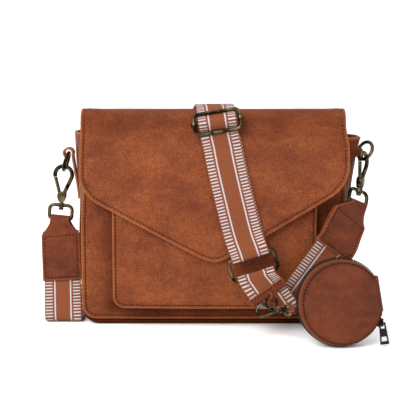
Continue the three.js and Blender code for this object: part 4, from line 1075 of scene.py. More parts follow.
def ring_tab(side, ring, from_top):
    """Middle line of a leather tab: up the gusset side and round the ring wire."""
    angle = math.radians(from_top)
    radius = SIDE_RING["radius"]
    wire_at = ring["centre"] + ring["up"] * radius * math.cos(angle) + ring["along"] * radius * math.sin(angle)
    axis = ring["along"] * math.cos(angle) - ring["up"] * math.sin(angle)
    axis = -axis if axis[1] < 0 else axis
    inward = squared(at(-side, 0, 0), axis)
    upward = np.cross(axis, inward)
    upward = -upward if upward[2] < 0 else upward
    skin = TAB["thick"] / 2 + GAP
    low = []
    for z, y, off in TAB_LOW:
        lean = float(table_value(LEFT_LEAN, z)) if side < 0 else 0
        low.append((at(side * (half_at(z) + lean + side_swell(side, z) + skin + off), y, z), at(0, 1, 0)))
    stations = low + roll(wire_at, axis, inward, upward, *TAB_LOOP[side], 8)
    points, across, _ = run(stations, 8)
    halves = TAB["width"] / 2 * lerp(0.7, 1, eased(np.arange(len(points)) / 4, 0, 6))
    return points, across, halves


# Metal pieces, built upright in millimetres and then set in place
def set_place(piece, origin, x, y, z, scale=1.0):
    """Moves a piece's mesh from its own millimetres to its place in the frame."""
    turn = np.identity(4)
    turn[:3, :3] = np.stack([x, y, z], -1) * scale * MM
    turn[:3, 3] = origin * MM
    piece.data.transform(Matrix(turn.tolist()))
    return piece


WIRE_SIDES, POST_SIDES = 14, 20
# Rounding of a wire's cut ends, as a share of its radius
WIRE_END = 0.22
CAST_SMOOTH = 35


def bent_wire(name, radius, start, heading, moves, closed=False):
    """Round wire in the XZ plane: a circle drawn along straight runs and spun through bends.
    The heading is in degrees from +Z towards +X, and a turn is positive to the left seen from the front."""
    clear_selection()
    bpy.ops.mesh.primitive_circle_add(vertices=WIRE_SIDES, radius=radius, location=(start[0], 0, start[1]),
                                      rotation=(0, math.radians(heading), 0))
    wire = added(name)
    bpy.ops.object.mode_set(mode="EDIT")
    bpy.ops.mesh.select_all(action="SELECT")
    here, angle = np.array(start, float), math.radians(heading)
    for move in moves:
        ahead = np.array((math.sin(angle), math.cos(angle)))
        if "run" in move:
            step = ahead * move["run"]
            bpy.ops.mesh.extrude_region_move(TRANSFORM_OT_translate={"value": (step[0], 0, step[1])})
            here = here + step
            continue
        turn, side = math.radians(abs(move["turn"])), math.copysign(1, move["turn"])
        centre = here + side * move["bend"] * np.array((-ahead[1], ahead[0]))
        bpy.ops.mesh.spin(steps=max(4, round(abs(move["turn"]) / 8)), angle=turn, use_auto_merge=False,
                          center=(centre[0], 0, centre[1]), axis=(0, side, 0))
        c, s = math.cos(side * turn), math.sin(side * turn)
        arm = here - centre
        here = centre + np.array((c * arm[0] - s * arm[1], s * arm[0] + c * arm[1]))
        angle -= side * turn
    bpy.ops.mesh.select_all(action="SELECT")
    if closed:
        bpy.ops.mesh.remove_doubles(threshold=0.02)
    else:
        bpy.ops.mesh.fill_holes(sides=0)
    face_outwards(wire)
    if not closed:
        round_edges(wire, WIRE_END * radius, 3)
    return wire


def wire_loop(name, width, height, corner, radius, z=0.0, top_corner=None):
    """Round wire bent to a rounded rectangle, centred at a height."""
    top = top_corner or corner
    moves = []
    for straight, start, stop in ((width, corner, corner), (height, corner, top), (width, top, top),
                                  (height, top, corner)):
        moves += [{"run": straight - start - stop}, {"turn": 90, "bend": stop}]
    return bent_wire(name, radius, (-(width / 2 - corner), z - height / 2), 90, moves, closed=True)


def post(name, start, stop, radius, soften):
    """Round post between two points with softened ends."""
    clear_selection()
    start, stop = Vector(start), Vector(stop)
    turn = (stop - start).to_track_quat("Z", "Y").to_euler()
    bpy.ops.mesh.primitive_cylinder_add(vertices=POST_SIDES, radius=radius, depth=(stop - start).length,
                                        location=(start + stop) / 2, rotation=turn)
    piece = added(name)
    if soften:
        round_edges(piece, soften, 2)
    return piece


def pivot_post(name, half, radius, soften):
    """Post from front to back at the gate's pivot."""
    x, z = HOOK["pivot_x"], HOOK["pivot_z"]
    return post(name, (x, -half, z), (x, half, z), radius, soften)


def upright(name, low, high, radius, soften, x=0):
    return post(name, (x, 0, low), (x, 0, high), radius, soften)


def plate(name, outline, thick, soften):
    """Plate with an outline in the XZ plane, centred on y = 0."""
    clear_selection()
    bpy.ops.mesh.primitive_circle_add(vertices=len(outline), radius=1, fill_type="NGON")
    piece = added(name)
    for vertex, (x, z) in zip(piece.data.vertices, outline):
        vertex.co = (x, -thick / 2, z)
    bpy.ops.object.mode_set(mode="EDIT")
    bpy.ops.mesh.select_all(action="SELECT")
    bpy.ops.mesh.extrude_region_move(TRANSFORM_OT_translate={"value": (0, thick, 0)})
    face_outwards(piece)
    if soften:
        round_edges(piece, soften, 2, 30)
    return piece


def combine(base, operation, *others):
    """Joins other solids to a base, or cuts them from it."""
    for other in others:
        modify(base, "BOOLEAN", operation=operation, object=other, solver="EXACT")
        bpy.data.objects.remove(other)
    return base


BLOCK_OUTLINE = ((-2.6, 3.2), (2.6, 3.2), (4.8, 9), (4.4, 14), (-4.2, 14), (-5, 9))
SLOT_OUTLINE = ((-7, 6.8), (0.6, 6.8), (0.6, 16), (-7, 16))


def hook_metal(name):
    """Hook of a swivel clasp: bent arm, slotted block with a rivet, and the swivel shank with its head."""
    bend, straight = math.radians(-HOOK["lean"]), HOOK["straight"]
    meet = np.array((HOOK["bow"] * math.cos(bend), HOOK["bow_height"] + HOOK["bow"] * math.sin(bend)))
    start = meet - straight * np.array((math.sin(-bend), math.cos(bend)))
    arm = bent_wire(name, HOOK["wire"], start, HOOK["lean"],
                    [{"run": straight}, {"turn": HOOK["turn"], "bend": HOOK["bow"]}])
    block = plate("block", BLOCK_OUTLINE, BLOCK["thick"], BLOCK["soften"])
    combine(block, "DIFFERENCE", plate("slot", SLOT_OUTLINE, BLOCK["slot"], 0))
    return combine(arm, "UNION", block, pivot_post("pin", **PIN), upright("shank", **SHANK),
                   upright("head", **HEAD))


def gate_metal(name):
    """Sprung gate: an eye on the rivet and a straight arm to the hook's tip."""
    way = np.subtract(GATE["tip"], GATE["start"])
    arm = bent_wire(name, GATE["wire"], GATE["start"], math.degrees(math.atan2(*way)), [{"run": np.hypot(*way)}])
    combine(arm, "UNION", pivot_post("eye", GATE["eye_half"], GATE["eye"], 0.3))
    return combine(arm, "DIFFERENCE", pivot_post("bore", 4, GATE["bore"], 0))


def base_metal(name, base):
    """Base loop of a clasp with the collar that the shank turns in."""
    loop = wire_loop(name, base["width"], base["height"], CLASP["corner"], CLASP["wire"], -base["height"] / 2,
                     CLASP["top_corner"])
    combine(loop, "UNION", upright("collar", **COLLAR))
    return combine(loop, "DIFFERENCE", upright("bore", **COLLAR_BORE))


def brass_piece(piece, place, node, body="bag"):
    smooth(piece, CAST_SMOOTH)
    set_place(piece, *place)
    return finish(piece, BRASS, "antique_brass", node, body=body)


# Strap ends and webbing
LEFT_END = (
    (at(-158.8, -22, 42.5), at(1, 0, 0)),
    (at(-160.4, -15, 72), at(1, 0, 0)),
    (LEFT_CLASP["bar"] + at(0.2, -0.6, -12), at(1, 0, 0)),
    (LEFT_CLASP["bar"], LEFT_CLASP["turn"]),
)
FOLD_START = at(61.5, -73, 30.2)
FOLD_TURN = math.pi * FOLD["radius"]
FRONT_SLOPE, REAR_SLOPE = 0.2, 0.04
FRONT_OUT = unit(at(0, -1, -FRONT_SLOPE))
ARM_END = 98.5
ARM_ACROSS = at(math.sin(FOLD["angle"]), 0, -math.cos(FOLD["angle"]))
FRONT_ACROSS = ARM_ACROSS * (1, 1, -1)


def fold_place(along, side):
    """How far a place along and across the short webbing lies to the right of its fold's start and below it."""
    c, s = math.cos(FOLD["angle"]), math.sin(FOLD["angle"])
    return along * c + side * s, along * s - side * c


def short_strap(s, q):
    """Middle of the short webbing: two flat arms about a loose round fold."""
    across, down = fold_place(s, q)
    x, y, z = FOLD_START + (across, 0, 0)
    if down < 0:
        return at(x, y - FRONT_SLOPE * down, z - down)
    if down < FOLD_TURN:
        angle = down / FOLD["radius"]
        return at(x, y + FOLD["radius"] * (1 - math.cos(angle)), z - FOLD["drop"] * math.sin(angle))
    rest = down - FOLD_TURN
    return at(x, y + 2 * FOLD["radius"] - REAR_SLOPE * rest, z + rest)


def arm_front(s, q, off):
    """Place on the front arm of the short webbing, at a distance in front of its middle."""
    across, down = fold_place(s, q)
    return FOLD_START + at(across, -FRONT_SLOPE * down, -down) + FRONT_OUT * off


RIGHT_END = (
    (short_strap(ARM_END, 0), ARM_ACROSS),
    (short_strap(ARM_END + 9, 0), ARM_ACROSS),
    (at(128.6, -50.6, 102.2), lerp(ARM_ACROSS, RIGHT_TURN, 0.3)),
    (RIGHT_CLASP["bar"] - RIGHT_UP * 12 + at(-5.6, -1, 0), lerp(ARM_ACROSS, RIGHT_TURN, 0.7)),
    (RIGHT_CLASP["bar"], RIGHT_TURN),
)
END_SPANS = 14
# Sewing of a strap end: inset from its edges, distance from the bar and height over the leather's middle
END_SEAM = {"inset": 3.0, "from_bar": 18, "face": STRAP["end_leather"] / 2 + 0.05}


def inside_end(stations, first, last, parts):
    """The run of webbing inside a strap end, between two of the equal parts of the end's length."""
    points, across, _ = run(stations, END_SPANS)
    rows = len(points) - 1
    part = slice(round(rows * first / parts), round(rows * last / parts) + 1)
    return points[part], across[part]


def strap_end(name, stations, clasp):
    """Leather strip folded round the base bar, sewn over the webbing between its two layers."""
    bar, up, bar_direction = clasp["bar"], clasp["z"], clasp["turn"]
    points, across, normals = run(stations, END_SPANS)
    bar_radius = CLASP["wire"] + GAP + STRAP["end_leather"] / 2 + 0.5
    layer = STRAP["thick"] / 2 + 1.6 * GAP + STRAP["end_leather"] / 2
    reach = np.linalg.norm(points - bar, axis=1)
    halves = lerp(STRAP["neck"], STRAP["end_width"] / 2, np.clip(reach / STRAP["flare"], 0, 1) ** 1.4)
    off = lerp(bar_radius, layer, eased(reach, 2, 14))[:, None]
    keep = reach > 3
    front, back = (points + normals * off)[keep], (points - normals * off)[keep]
    turn = roll(bar, bar_direction, np.cross(up, bar_direction), up, bar_radius, 0, 180, 12)
    rows = np.concatenate([front, [s[0] for s in turn], back[::-1]])
    widths = np.concatenate([across[keep], [s[1] for s in turn], across[keep][::-1]])
    size = np.concatenate([halves[keep], [STRAP["neck"]] * len(turn), halves[keep][::-1]])
    piece = leather_strip(name, rows, widths, size, STRAP["end_leather"], 21, 0.6)
    seams = [end_rectangle(layer, across[keep], out[keep], halves[keep], reach[keep])
             for layer, out in ((front, normals), (back, -normals))]
    return piece, seams


def end_rectangle(points, across, out, halves, reach):
    """Closed row of stitches round one layer of a strap end."""
    inset, half = END_SEAM["inset"], STRAP["end_width"] / 2 - END_SEAM["inset"]
    run_at = lengths_along(points)
    top = float(np.interp(-END_SEAM["from_bar"], -reach, run_at))
    s, q = np.arange(inset, top, 1.0), np.arange(-half, half, 1.0)
    side = np.interp(s, run_at, halves) - inset
    along = np.concatenate([s, np.full_like(q, top), s[::-1], np.full_like(q, inset)])
    offset = np.concatenate([-side, q, side[::-1], -q])[:, None]
    normals = resample(points, along, out)
    return resample(points, along) + resample(points, along, across) * offset + normals * END_SEAM["face"], normals


RING_HEADING = unit(at(0.305, -0.15, -0.94))
RING_ACROSS = squared(at(0.951, 0, 0.309), RING_HEADING)
RING_OUT = np.cross(RING_HEADING, RING_ACROSS)
RING_CENTRE = at(38.2, -64.4, 69.3)
UPPER_BAR = RING_CENTRE - RING_HEADING * STRAP_RING["height"] / 2
LOWER_BAR = RING_CENTRE + RING_HEADING * STRAP_RING["height"] / 2
WRAP = STRAP_RING["wire"] + GAP + STRAP["thick"] / 2
BUCKLE_AT = at(2.7, -42, 209.2)
BUCKLE_HEADING = unit(at(0.155, -0.25, -0.955))
BUCKLE_ACROSS = squared(at(0.987, 0, 0.16), BUCKLE_HEADING)
BUCKLE_OUT = np.cross(BUCKLE_HEADING, BUCKLE_ACROSS)
BAR_PASS = BUCKLE["wire"] + GAP + STRAP["thick"] / 2
BAR_ROLL = BUCKLE["bar"] + GAP + STRAP["thick"] / 2
UNDER = 2.2 * GAP + STRAP["thick"] / 2
OVER = UNDER + STRAP["thick"] + 0.4


def on_buckle(along, out):
    return BUCKLE_AT + BUCKLE_HEADING * along + BUCKLE_OUT * out, BUCKLE_ACROSS


def on_flap(x, z, off, tilt):
    """Station of the webbing in front of the flap, where its two edges would lie."""
    right, left = (at(*flap_face(x + reach, z + reach * tilt)) - (0, off, 0) for reach in (16, -16))
    return (right + left) / 2, unit(right - left)


# Long webbing from the left strap end: to the floor, up the back and over the top
HANG = (
    ((-158.8, -22, 42.5), (1, 0, 0)),
    ((-157.8, -29, 20), (1, 0, 0)),
    ((-157.2, -33, 9), (1, 0, 0)),
    ((-157, -33.4, 4.2), (1, 0, 0)),
    ((-156.9, -30, 1.5), (1, 0, 0)),
    ((-156.6, -22, 1.3), (1, 0, 0)),
    ((-156, 5, 1.3), (1, 0, 0)),
    ((-155, 30, 2.4), (1, 0, 0)),
    ((-147, 49, 6), (0.85, -0.5, 0.1)),
    ((-124, 60, 22), (0.8, -0.1, -0.5)),
    ((-99, 56, 54), (0.83, 0, -0.55)),
    ((-68, 49, 110), (0.83, 0, -0.52)),
    ((-28, 45, 168), (0.87, 0, -0.45)),
    ((-8.5, 42, 204), (0.94, 0, -0.3)),
    ((-3, 36, 216.6), (0.98, 0.03, -0.12)),
    ((-1.2, 22, 222.4), (1, 0.04, 0)),
    ((-0.9, -4, 223.6), (1, 0.03, 0.02)),
    ((0.2, -24, 223.2), (1, 0, 0.06)),
)
# Way through the buckle: distance along it and out from its middle
BUCKLE_WAY = (
    {"along": -12, "out": -BAR_PASS + 0.2},
    {"along": -10.2, "out": -BAR_PASS - 0.1},
    {"along": -8, "out": -2.1},
    {"along": -3.5, "out": 3.3},
    {"along": 0, "out": BAR_ROLL + STRAP["thick"] + 0.5},
    {"along": 3.5, "out": 3.3},
    {"along": 8, "out": -2.1},
    {"along": 10.2, "out": -BAR_PASS - 0.1},
    {"along": 12.5, "out": -BAR_PASS},
)


# Way down the front of the flap to the strap ring, and back up under it: x, height, distance and tilt
OVER_WAY = ((7.2, 186, OVER, 0.17), (10.8, 168, OVER, 0.19), (19.2, 132.6, OVER, 0.24), (28.5, 97, OVER + 0.6, 0.29))
UNDER_WAY = ((30, 97, UNDER, 0.29), (20.8, 132.6, UNDER, 0.24), (12.3, 168, UNDER, 0.19),
             (8.6, 186, UNDER + 0.2, 0.17))
WEB_COLUMNS = 17


def beside_ring(bar, out, along):
    """Station at a distance along from a bar of the strap ring, on its front or its back."""
    return bar + RING_OUT * WRAP * out + RING_HEADING * along, RING_ACROSS


def long_webbing():
    """Points and width directions of the long webbing, end to end."""
    inside = [part[::-1] for part in inside_end(LEFT_END, 1, 8, 12)]
    hang = [(at(*p), at(*w)) for p, w in HANG]
    front = [hang[-1]] + [on_buckle(w["along"], w["out"]) for w in BUCKLE_WAY]
    front += [on_flap(*row) for row in OVER_WAY] + [beside_ring(UPPER_BAR, 1, -5)]
    front += roll(UPPER_BAR, RING_ACROSS, RING_OUT, RING_HEADING, WRAP, 0, 180, 6)
    front += [beside_ring(UPPER_BAR, -1, -5)] + [on_flap(*row) for row in UNDER_WAY]
    front.append(on_buckle(10.2, -BAR_PASS - STRAP["thick"] - 0.4))
    front += roll(BUCKLE_AT, BUCKLE_ACROSS, -BUCKLE_OUT, -BUCKLE_HEADING, BAR_ROLL, 10, 190, 6)
    down, through = run(hang, 10), run(front, 10)
    return [np.concatenate([inside[k], down[k], through[k][1:]]) for k in (0, 1)]


def short_webbing():
    """Grid of the short webbing: hidden end, over the ring's lower bar, front arm, fold, rear arm, strap end."""
    stations = [
        (short_strap(-10, 0) + (0, 2.4, 0), FRONT_ACROSS),
        (short_strap(-20, 0) + (0, 3.2, 0), FRONT_ACROSS),
        beside_ring(LOWER_BAR, -1, 5),
        *roll(LOWER_BAR, RING_ACROSS, RING_OUT, -RING_HEADING, WRAP, 180, 0, 6),
        beside_ring(LOWER_BAR, 1, 3),
    ]
    half = STRAP["width"] / 2
    over, _ = strip_grid(*run(stations, 8)[:2], half, WEB_COLUMNS)
    places = np.linspace(-half, half, WEB_COLUMNS)
    arm = np.array([[short_strap(s, q) for q in places] for s in np.arange(-20.5, ARM_END - 1, 1.5)])
    inside, _ = strip_grid(*inside_end(RIGHT_END, 1, 6, 16), half, WEB_COLUMNS)
    return np.concatenate([over, arm, inside])


def web_piece(name, grid):
    """Woven strap with its places along and across, in metres, for the pattern."""
    middle = grid[:, grid.shape[1] // 2]
    along = lengths_along(middle)
    places = np.linspace(-0.5, 0.5, grid.shape[1]) * STRAP["width"]
    piece = grid_piece(name, grid, along=np.repeat(along * MM, grid.shape[1]),
                       across=np.tile(places * MM, len(along)))
    thicken(piece, STRAP["thick"], 0.5)
    return piece, along[-1] * MM


# Coin pouch, in its own leaning frame: front towards its own -y
POUCH_PLACE = (Matrix.Translation((0.1192, -0.096, 0.0413)) @ Matrix.Rotation(math.radians(POUCH["turn"]), 4, "Z")
               @ Matrix.Rotation(math.radians(POUCH["lean"]), 4, "X"))
# Face profile: distance from the middle, height from the zip's middle, and the marks of the rim, pale as wear and as
# a painted highlight, and of the seam
POUCH_FACE = (
    {"r": 0, "out": 9.0, "worn": 0, "seam": 0},
    {"r": 5, "out": 8.98, "worn": 0, "seam": 0},
    {"r": 12, "out": 8.85, "worn": 0, "seam": 0},
    {"r": 20, "out": 8.5, "worn": 0, "seam": 0},
    {"r": 28, "out": 7.85, "worn": 0, "seam": 0},
    {"r": 35.5, "out": 7.2, "worn": 0, "seam": 0.1},
    {"r": 37.5, "out": 6.95, "worn": 0, "seam": 0.6},
    {"r": 38.3, "out": 6.7, "worn": 0, "seam": 1},
    {"r": 39, "out": 6.8, "worn": 0, "seam": 0.6},
    {"r": 39.5, "out": 6.65, "worn": 0.1, "seam": 0.1},
    {"r": 40, "out": 6.4, "worn": 0.1, "seam": 0.35},
    {"r": 40.5, "out": 5.7, "worn": 0.5, "seam": 0},
    {"r": 40.8, "out": 4.9, "worn": 0.3, "seam": 0},
    {"r": 41, "out": 4, "worn": 0, "seam": 0.3},
)
POUCH_INSIDE = ((39, POUCH["rim"]), (38.4, 4.4), (34, 5), (28, 5.6), (16, 6.6), (0, 7))
# Between the outside and the inside, by distance from the middle
POUCH_BETWEEN = ((0, 7.8), (30, 6.5), (38.2, 5), (39.5, 3.3))
POUCH_SEAM = 38.3
# The faces sit a little low and to the right of the rim
POUCH_SLIP = (1.5, -1)
POUCH_STEPS = 120


def rim_reach(angle):
    """Reach of the pouch's rim at an angle: a round with one straight folded side."""
    folded = POUCH_FOLD["reach"] / np.cos(angle - POUCH_FOLD["angle"])
    return np.where((angle > POUCH_FOLD["from"]) & (angle < POUCH_FOLD["to"]), folded, POUCH["radius"])


def fold_in(x, z):
    """Share by which a place on the round pouch is drawn in towards its straight side."""
    angle, radius = np.arctan2(z, x), np.hypot(x, z)
    return lerp(1, np.minimum(rim_reach(angle) / POUCH["radius"], 1), eased(radius, 18, 36))


def pouch_shell(name, sign):
    """Half of the pouch: a leather face spun about the pouch axis, with its wall behind it."""
    outer = [(row["r"], row["out"]) for row in POUCH_FACE]
    profile = [at(r, sign * out, 0) for r, out in (*outer, *POUCH_INSIDE)]
    clear_selection()
    bpy.ops.mesh.primitive_circle_add(vertices=len(profile), radius=1)
    piece = added(name)
    for vertex, place in zip(piece.data.vertices, profile):
        vertex.co = place
    bpy.ops.object.mode_set(mode="EDIT")
    bpy.ops.mesh.select_all(action="SELECT")
    bpy.ops.mesh.spin(steps=POUCH_STEPS, angle=2 * math.pi, center=(0, 0, 0), axis=(0, 1, 0), use_auto_merge=False)
    bpy.ops.mesh.select_all(action="SELECT")
    bpy.ops.mesh.remove_doubles(threshold=0.005)
    bpy.ops.mesh.delete_loose()
    bpy.ops.object.mode_set(mode="OBJECT")
    places = np.array([v.co for v in piece.data.vertices])
    radius = np.hypot(places[:, 0], places[:, 2])
    drawn = fold_in(places[:, 0], places[:, 2])
    outside = np.abs(places[:, 1]) >= np.interp(radius, *np.array(POUCH_BETWEEN).T)
    table = np.array([(row["r"], row["worn"], row["seam"]) for row in POUCH_FACE])
    marks = [np.where(outside, np.interp(radius, table[:, 0], table[:, k]), 0) for k in (1, 2)]
    mark(piece, worn=marks[0], seam=marks[1])
    for vertex, wave, r, share in zip(piece.data.vertices, waves(places, 22), radius, drawn):
        slip = 1 - eased(r, POUCH_SEAM, POUCH["radius"])
        vertex.co.y += 0.25 * wave * (1 - eased(r, 24, 38)) * sign
        vertex.co.x = vertex.co.x * share + POUCH_SLIP[0] * slip
        vertex.co.z = vertex.co.z * share + POUCH_SLIP[1] * slip
    face_outwards(piece)
    smooth(piece, 60)
    return piece


# Section of the pouch's hinge, from the front face to the fold's middle: distance past the straight side, depth
HINGE_SECTION = ((-1.8, -5.85), (-0.9, -5.55), (0, -4.9), (0.6, -4), (0.95, -2.6), (1.1, -1.2), (1.15, 0))


def pouch_hinge(name):
    """Leather strip wrapped from the front face over the straight side to the back, in pouch millimetres."""
    c, s = math.cos(POUCH_FOLD["angle"]), math.sin(POUCH_FOLD["angle"])
    section = HINGE_SECTION + tuple((past, -depth) for past, depth in HINGE_SECTION[-2::-1])
    rows = []
    for angle in np.linspace(POUCH_FOLD["from"], POUCH_FOLD["to"], 40):
        along = POUCH_FOLD["reach"] * math.tan(angle - POUCH_FOLD["angle"])
        row = []
        for past, depth in section:
            out = POUCH_FOLD["reach"] + past
            row.append((out * c - along * s, depth, out * s + along * c))
        rows.append(row)
    grid = np.array(rows)
    ends = from_ends(np.arange(len(grid)))[:, None] * 0.8
    sides = from_ends(np.arange(len(section)))[None, :] * 0.9
    # Paler edges of the hinge: wear, and partly a painted highlight
    piece = grid_piece(name, grid, worn=0.7 * bell(np.minimum(ends, sides), 0.8), seam=np.zeros(grid.shape[:2]))
    thicken(piece, 1.2, 0.35)
    piece.data.transform(Matrix.Scale(1 / MM, 4))
    return piece


def pouch_band(radius, start, stop, steps):
    """Stations of a strip round the pouch axis."""
    return roll(at(0, 0, 0), at(0, 1, 0), at(1, 0, 0), at(0, 0, 1), radius, start, stop, steps)


def to_frame(piece):
    """Moves a piece built in pouch millimetres to its place."""
    piece.data.transform(POUCH_PLACE @ Matrix.Scale(MM, 4))
    return piece


def in_frame(x, y, z):
    return np.array(POUCH_PLACE @ Vector((x * MM, y * MM, z * MM))) / MM


BOX_FACES = ((0, 1, 2, 3), (7, 6, 5, 4), (0, 4, 5, 1), (1, 5, 6, 2), (2, 6, 7, 3), (3, 7, 4, 0))
BOX_CORNERS = ((-1, -1), (1, -1), (1, 1), (-1, 1))


def zip_teeth(name, start, stop):
    """Two rows of small teeth that meet along the middle of the zip."""
    pitch = TOOTH["pitch"]
    count = int(math.radians(stop - start) * TOOTH["radius"] / pitch)
    points, faces = [], []
    for k in range(count):
        angle = math.radians(lerp(start, stop, (k + 0.5) / count))
        out = at(math.cos(angle), 0, math.sin(angle))
        ahead = at(-math.sin(angle), 0, math.cos(angle))
        lifted = TOOTH["radius"] + TOOTH["lift"] * max(0, math.cos(angle - TOOTH["lift_at"]))
        for side in (-1, 1):
            middle = out * lifted + at(0, side * TOOTH["apart"], 0) + ahead * side * pitch / 4
            faces += [[len(points) + i for i in quad] for quad in BOX_FACES]
            for height, narrow in ((TOOTH["low"], 1), (TOOTH["high"], TOOTH["narrow"])):
                for y, a in BOX_CORNERS:
                    beside = at(0, y * TOOTH["half"] * narrow, 0) + ahead * a * pitch * TOOTH["length"] * narrow
                    points.append(middle + out * height + beside)
    piece = mesh_piece(name, points, faces)
    face_outwards(piece)
    return piece


def trapezoid(top, low, half_top, half_low):
    return ((-half_top, top), (half_top, top), (half_low, low), (-half_low, low))


# Operators
class BagOperator:
    """A step that builds its pieces; what it can't build raises"""
    bl_options = {"REGISTER"}

    def execute(self, context):
        self.build(context)
        return {"FINISHED"}


LIGHTS = (
    {"name": "key", "at": (-0.75, -1.05, 1.15), "size": 1.1},
    {"name": "fill", "at": (1.1, -1.2, 0.7), "size": 1.2},
)
LIGHT_AIM = (0, -0.04, 0.1)
CAMERA = {"at": (-0.0065, -0.795, 0.258), "down": 10.18, "lens": 65.94, "sensor": 36}


class BAG_OT_stage(BagOperator, bpy.types.Operator):
    """Pale floor, soft studio light and the camera"""
    bl_idname = "bag.stage"
    bl_label = "Stage"

    def build(self, context):
        look = context.scene.bag_stage
        clear_selection()
        bpy.ops.mesh.primitive_plane_add(size=6, location=(0, 0.6, -0.0004))
        floor = added("floor")
        bpy.ops.object.mode_set(mode="EDIT")
        bpy.ops.mesh.select_all(action="DESELECT")
        bpy.ops.object.mode_set(mode="OBJECT")
        for edge in floor.data.edges:
            edge.select = all(floor.data.vertices[v].co.y > 3 for v in edge.vertices)
        bpy.ops.object.mode_set(mode="EDIT")
        bpy.ops.mesh.select_mode(type="EDGE")
        bpy.ops.mesh.extrude_region_move(TRANSFORM_OT_translate={"value": (0, 0, 3.5)})
        bpy.ops.mesh.select_mode(type="VERT")
        bpy.ops.object.mode_set(mode="OBJECT")
        round_edges(floor, 1.2, 24, 30)
        smooth(floor, 60)
        floor.data.materials.append(material("white studio paper"))
        for row in LIGHTS:
            clear_selection()
            bpy.ops.object.light_add(type="AREA", location=row["at"])
            lamp = context.object
            lamp.name = row["name"]
            lamp.data.energy = getattr(look, row["name"])
            lamp.data.size = row["size"]
            aim = Vector(LIGHT_AIM) - Vector(row["at"])
            lamp.rotation_euler = aim.to_track_quat("-Z", "Y").to_euler()
        world = bpy.data.worlds.new("studio")
        context.scene.world = world
        world.use_nodes = True
        sky = next(n for n in world.node_tree.nodes if n.type == "BACKGROUND")
        # A wide white light overhead that fades towards a dim room at eye level
        way = add_node(world.node_tree, "TexCoord").outputs["Generated"]
        height = add_node(world.node_tree, "SeparateXYZ", {"Vector": way}).outputs["Z"]
        fade = add_node(world.node_tree, "MapRange", {"Value": height, "From Min": 0.1, "From Max": 0.7,
                                                      "To Min": 0.2 * look.sky, "To Max": look.sky})
        plug(world.node_tree, sky, {"Color": (1, 1, 1, 1), "Strength": fade})
        context.scene.view_settings.view_transform = "Standard"
        clear_selection()
        bpy.ops.object.camera_add(location=CAMERA["at"], rotation=(math.radians(90 - CAMERA["down"]), 0, 0))
        camera = context.object
        camera.name = "camera"
        camera.data.sensor_width = CAMERA["sensor"]
        camera.data.lens = CAMERA["lens"]
        context.scene.camera = camera


class BAG_OT_webbing(BagOperator, bpy.types.Operator):
    """Both lengths of patterned webbing"""
    bl_idname = "bag.webbing"
    bl_label = "Webbing"

    def build(self, context):
        points, across = long_webbing()
        grid, _ = strip_grid(points, across, STRAP["width"] / 2, WEB_COLUMNS)
        piece, total = web_piece("long_webbing", grid)
        finish(piece, WEBBING, "patterned_webbing", "webbing_long")
        piece, total = web_piece("short_webbing", short_webbing())
        finish(piece, WEBBING, "patterned_webbing", "webbing_short")


class BAG_OT_walls(BagOperator, bpy.types.Operator):
    """Front and back panels and the gusset, with their sewing"""
    bl_idname = "bag.walls"
    bl_label = "Walls"

    def build(self, context):
        inset = context.scene.bag_sewing.inset / MM
        grid, distances = panel_grid(PANEL["bottom"], BODY["front_top"], panel_mid)
        # The front panel carries painted shade round and below the pocket
        piece = sewn_panel("front_panel_leather", leaned(grid), distances, at(0, -1, 0), PANEL["thick"], inset,
                           burnish=pocket_painted_shade(grid))
        finish(piece, TAN, "tan_leather", "front_panel")
        grid, distances = panel_grid(PANEL["back_bottom"], BODY["back_top"], back_panel_mid)
        piece = sewn_panel("back_panel_leather", leaned(grid), distances, at(0, 1, 0), PANEL["thick"], inset)
        finish(piece, TAN, "tan_leather", "back_panel")
        grid = leaned(gusset_grid())
        ends = from_ends(lengths_along(grid[:, grid.shape[1] // 2]))
        # Paler ends of the gusset: wear, and partly a painted highlight
        worn = np.broadcast_to(bell(ends, 1.5)[:, None], grid.shape[:2])
        piece = grid_piece("gusset_leather", grid, worn=worn, seam=np.zeros(grid.shape[:2]),
                           burnish=gusset_shade(grid))
        thicken(piece, PANEL["thick"], 0.6)
        finish(piece, TAN, "tan_leather", "gusset")
        front = even_line(u_line(half_at, PANEL["bottom"], BODY["front_top"] - 3, PANEL["corner"], inset))
        back = even_line(u_line(half_at, PANEL["back_bottom"], BODY["back_top"] - 3, PANEL["corner"], inset))
        front_line, front_normals = on_surface(panel_face, front)
        back_line, back_normals = on_surface(back_face, back)
        lines = [(leaned(front_line), front_normals), (leaned(back_line), -back_normals)]
        stitches("wall_stitches", lines, "tan_leather")


class BAG_OT_pocket(BagOperator, bpy.types.Operator):
    """Raised front pocket with its welted rim"""
    bl_idname = "bag.pocket"
    bl_label = "Front pocket"

    def build(self, context):
        piece = pocket_skin("front_pocket_leather")
        thicken(piece, POCKET["wall"], 0.5, offset=-1)
        finish(piece, TAN, "tan_leather", "front_pocket")
        groove = partial(pocket_point, lift=-0.45)
        stitches("pocket_stitches", [on_surface(groove, even_line(pocket_line(POCKET_SEAM)))], "tan_leather")


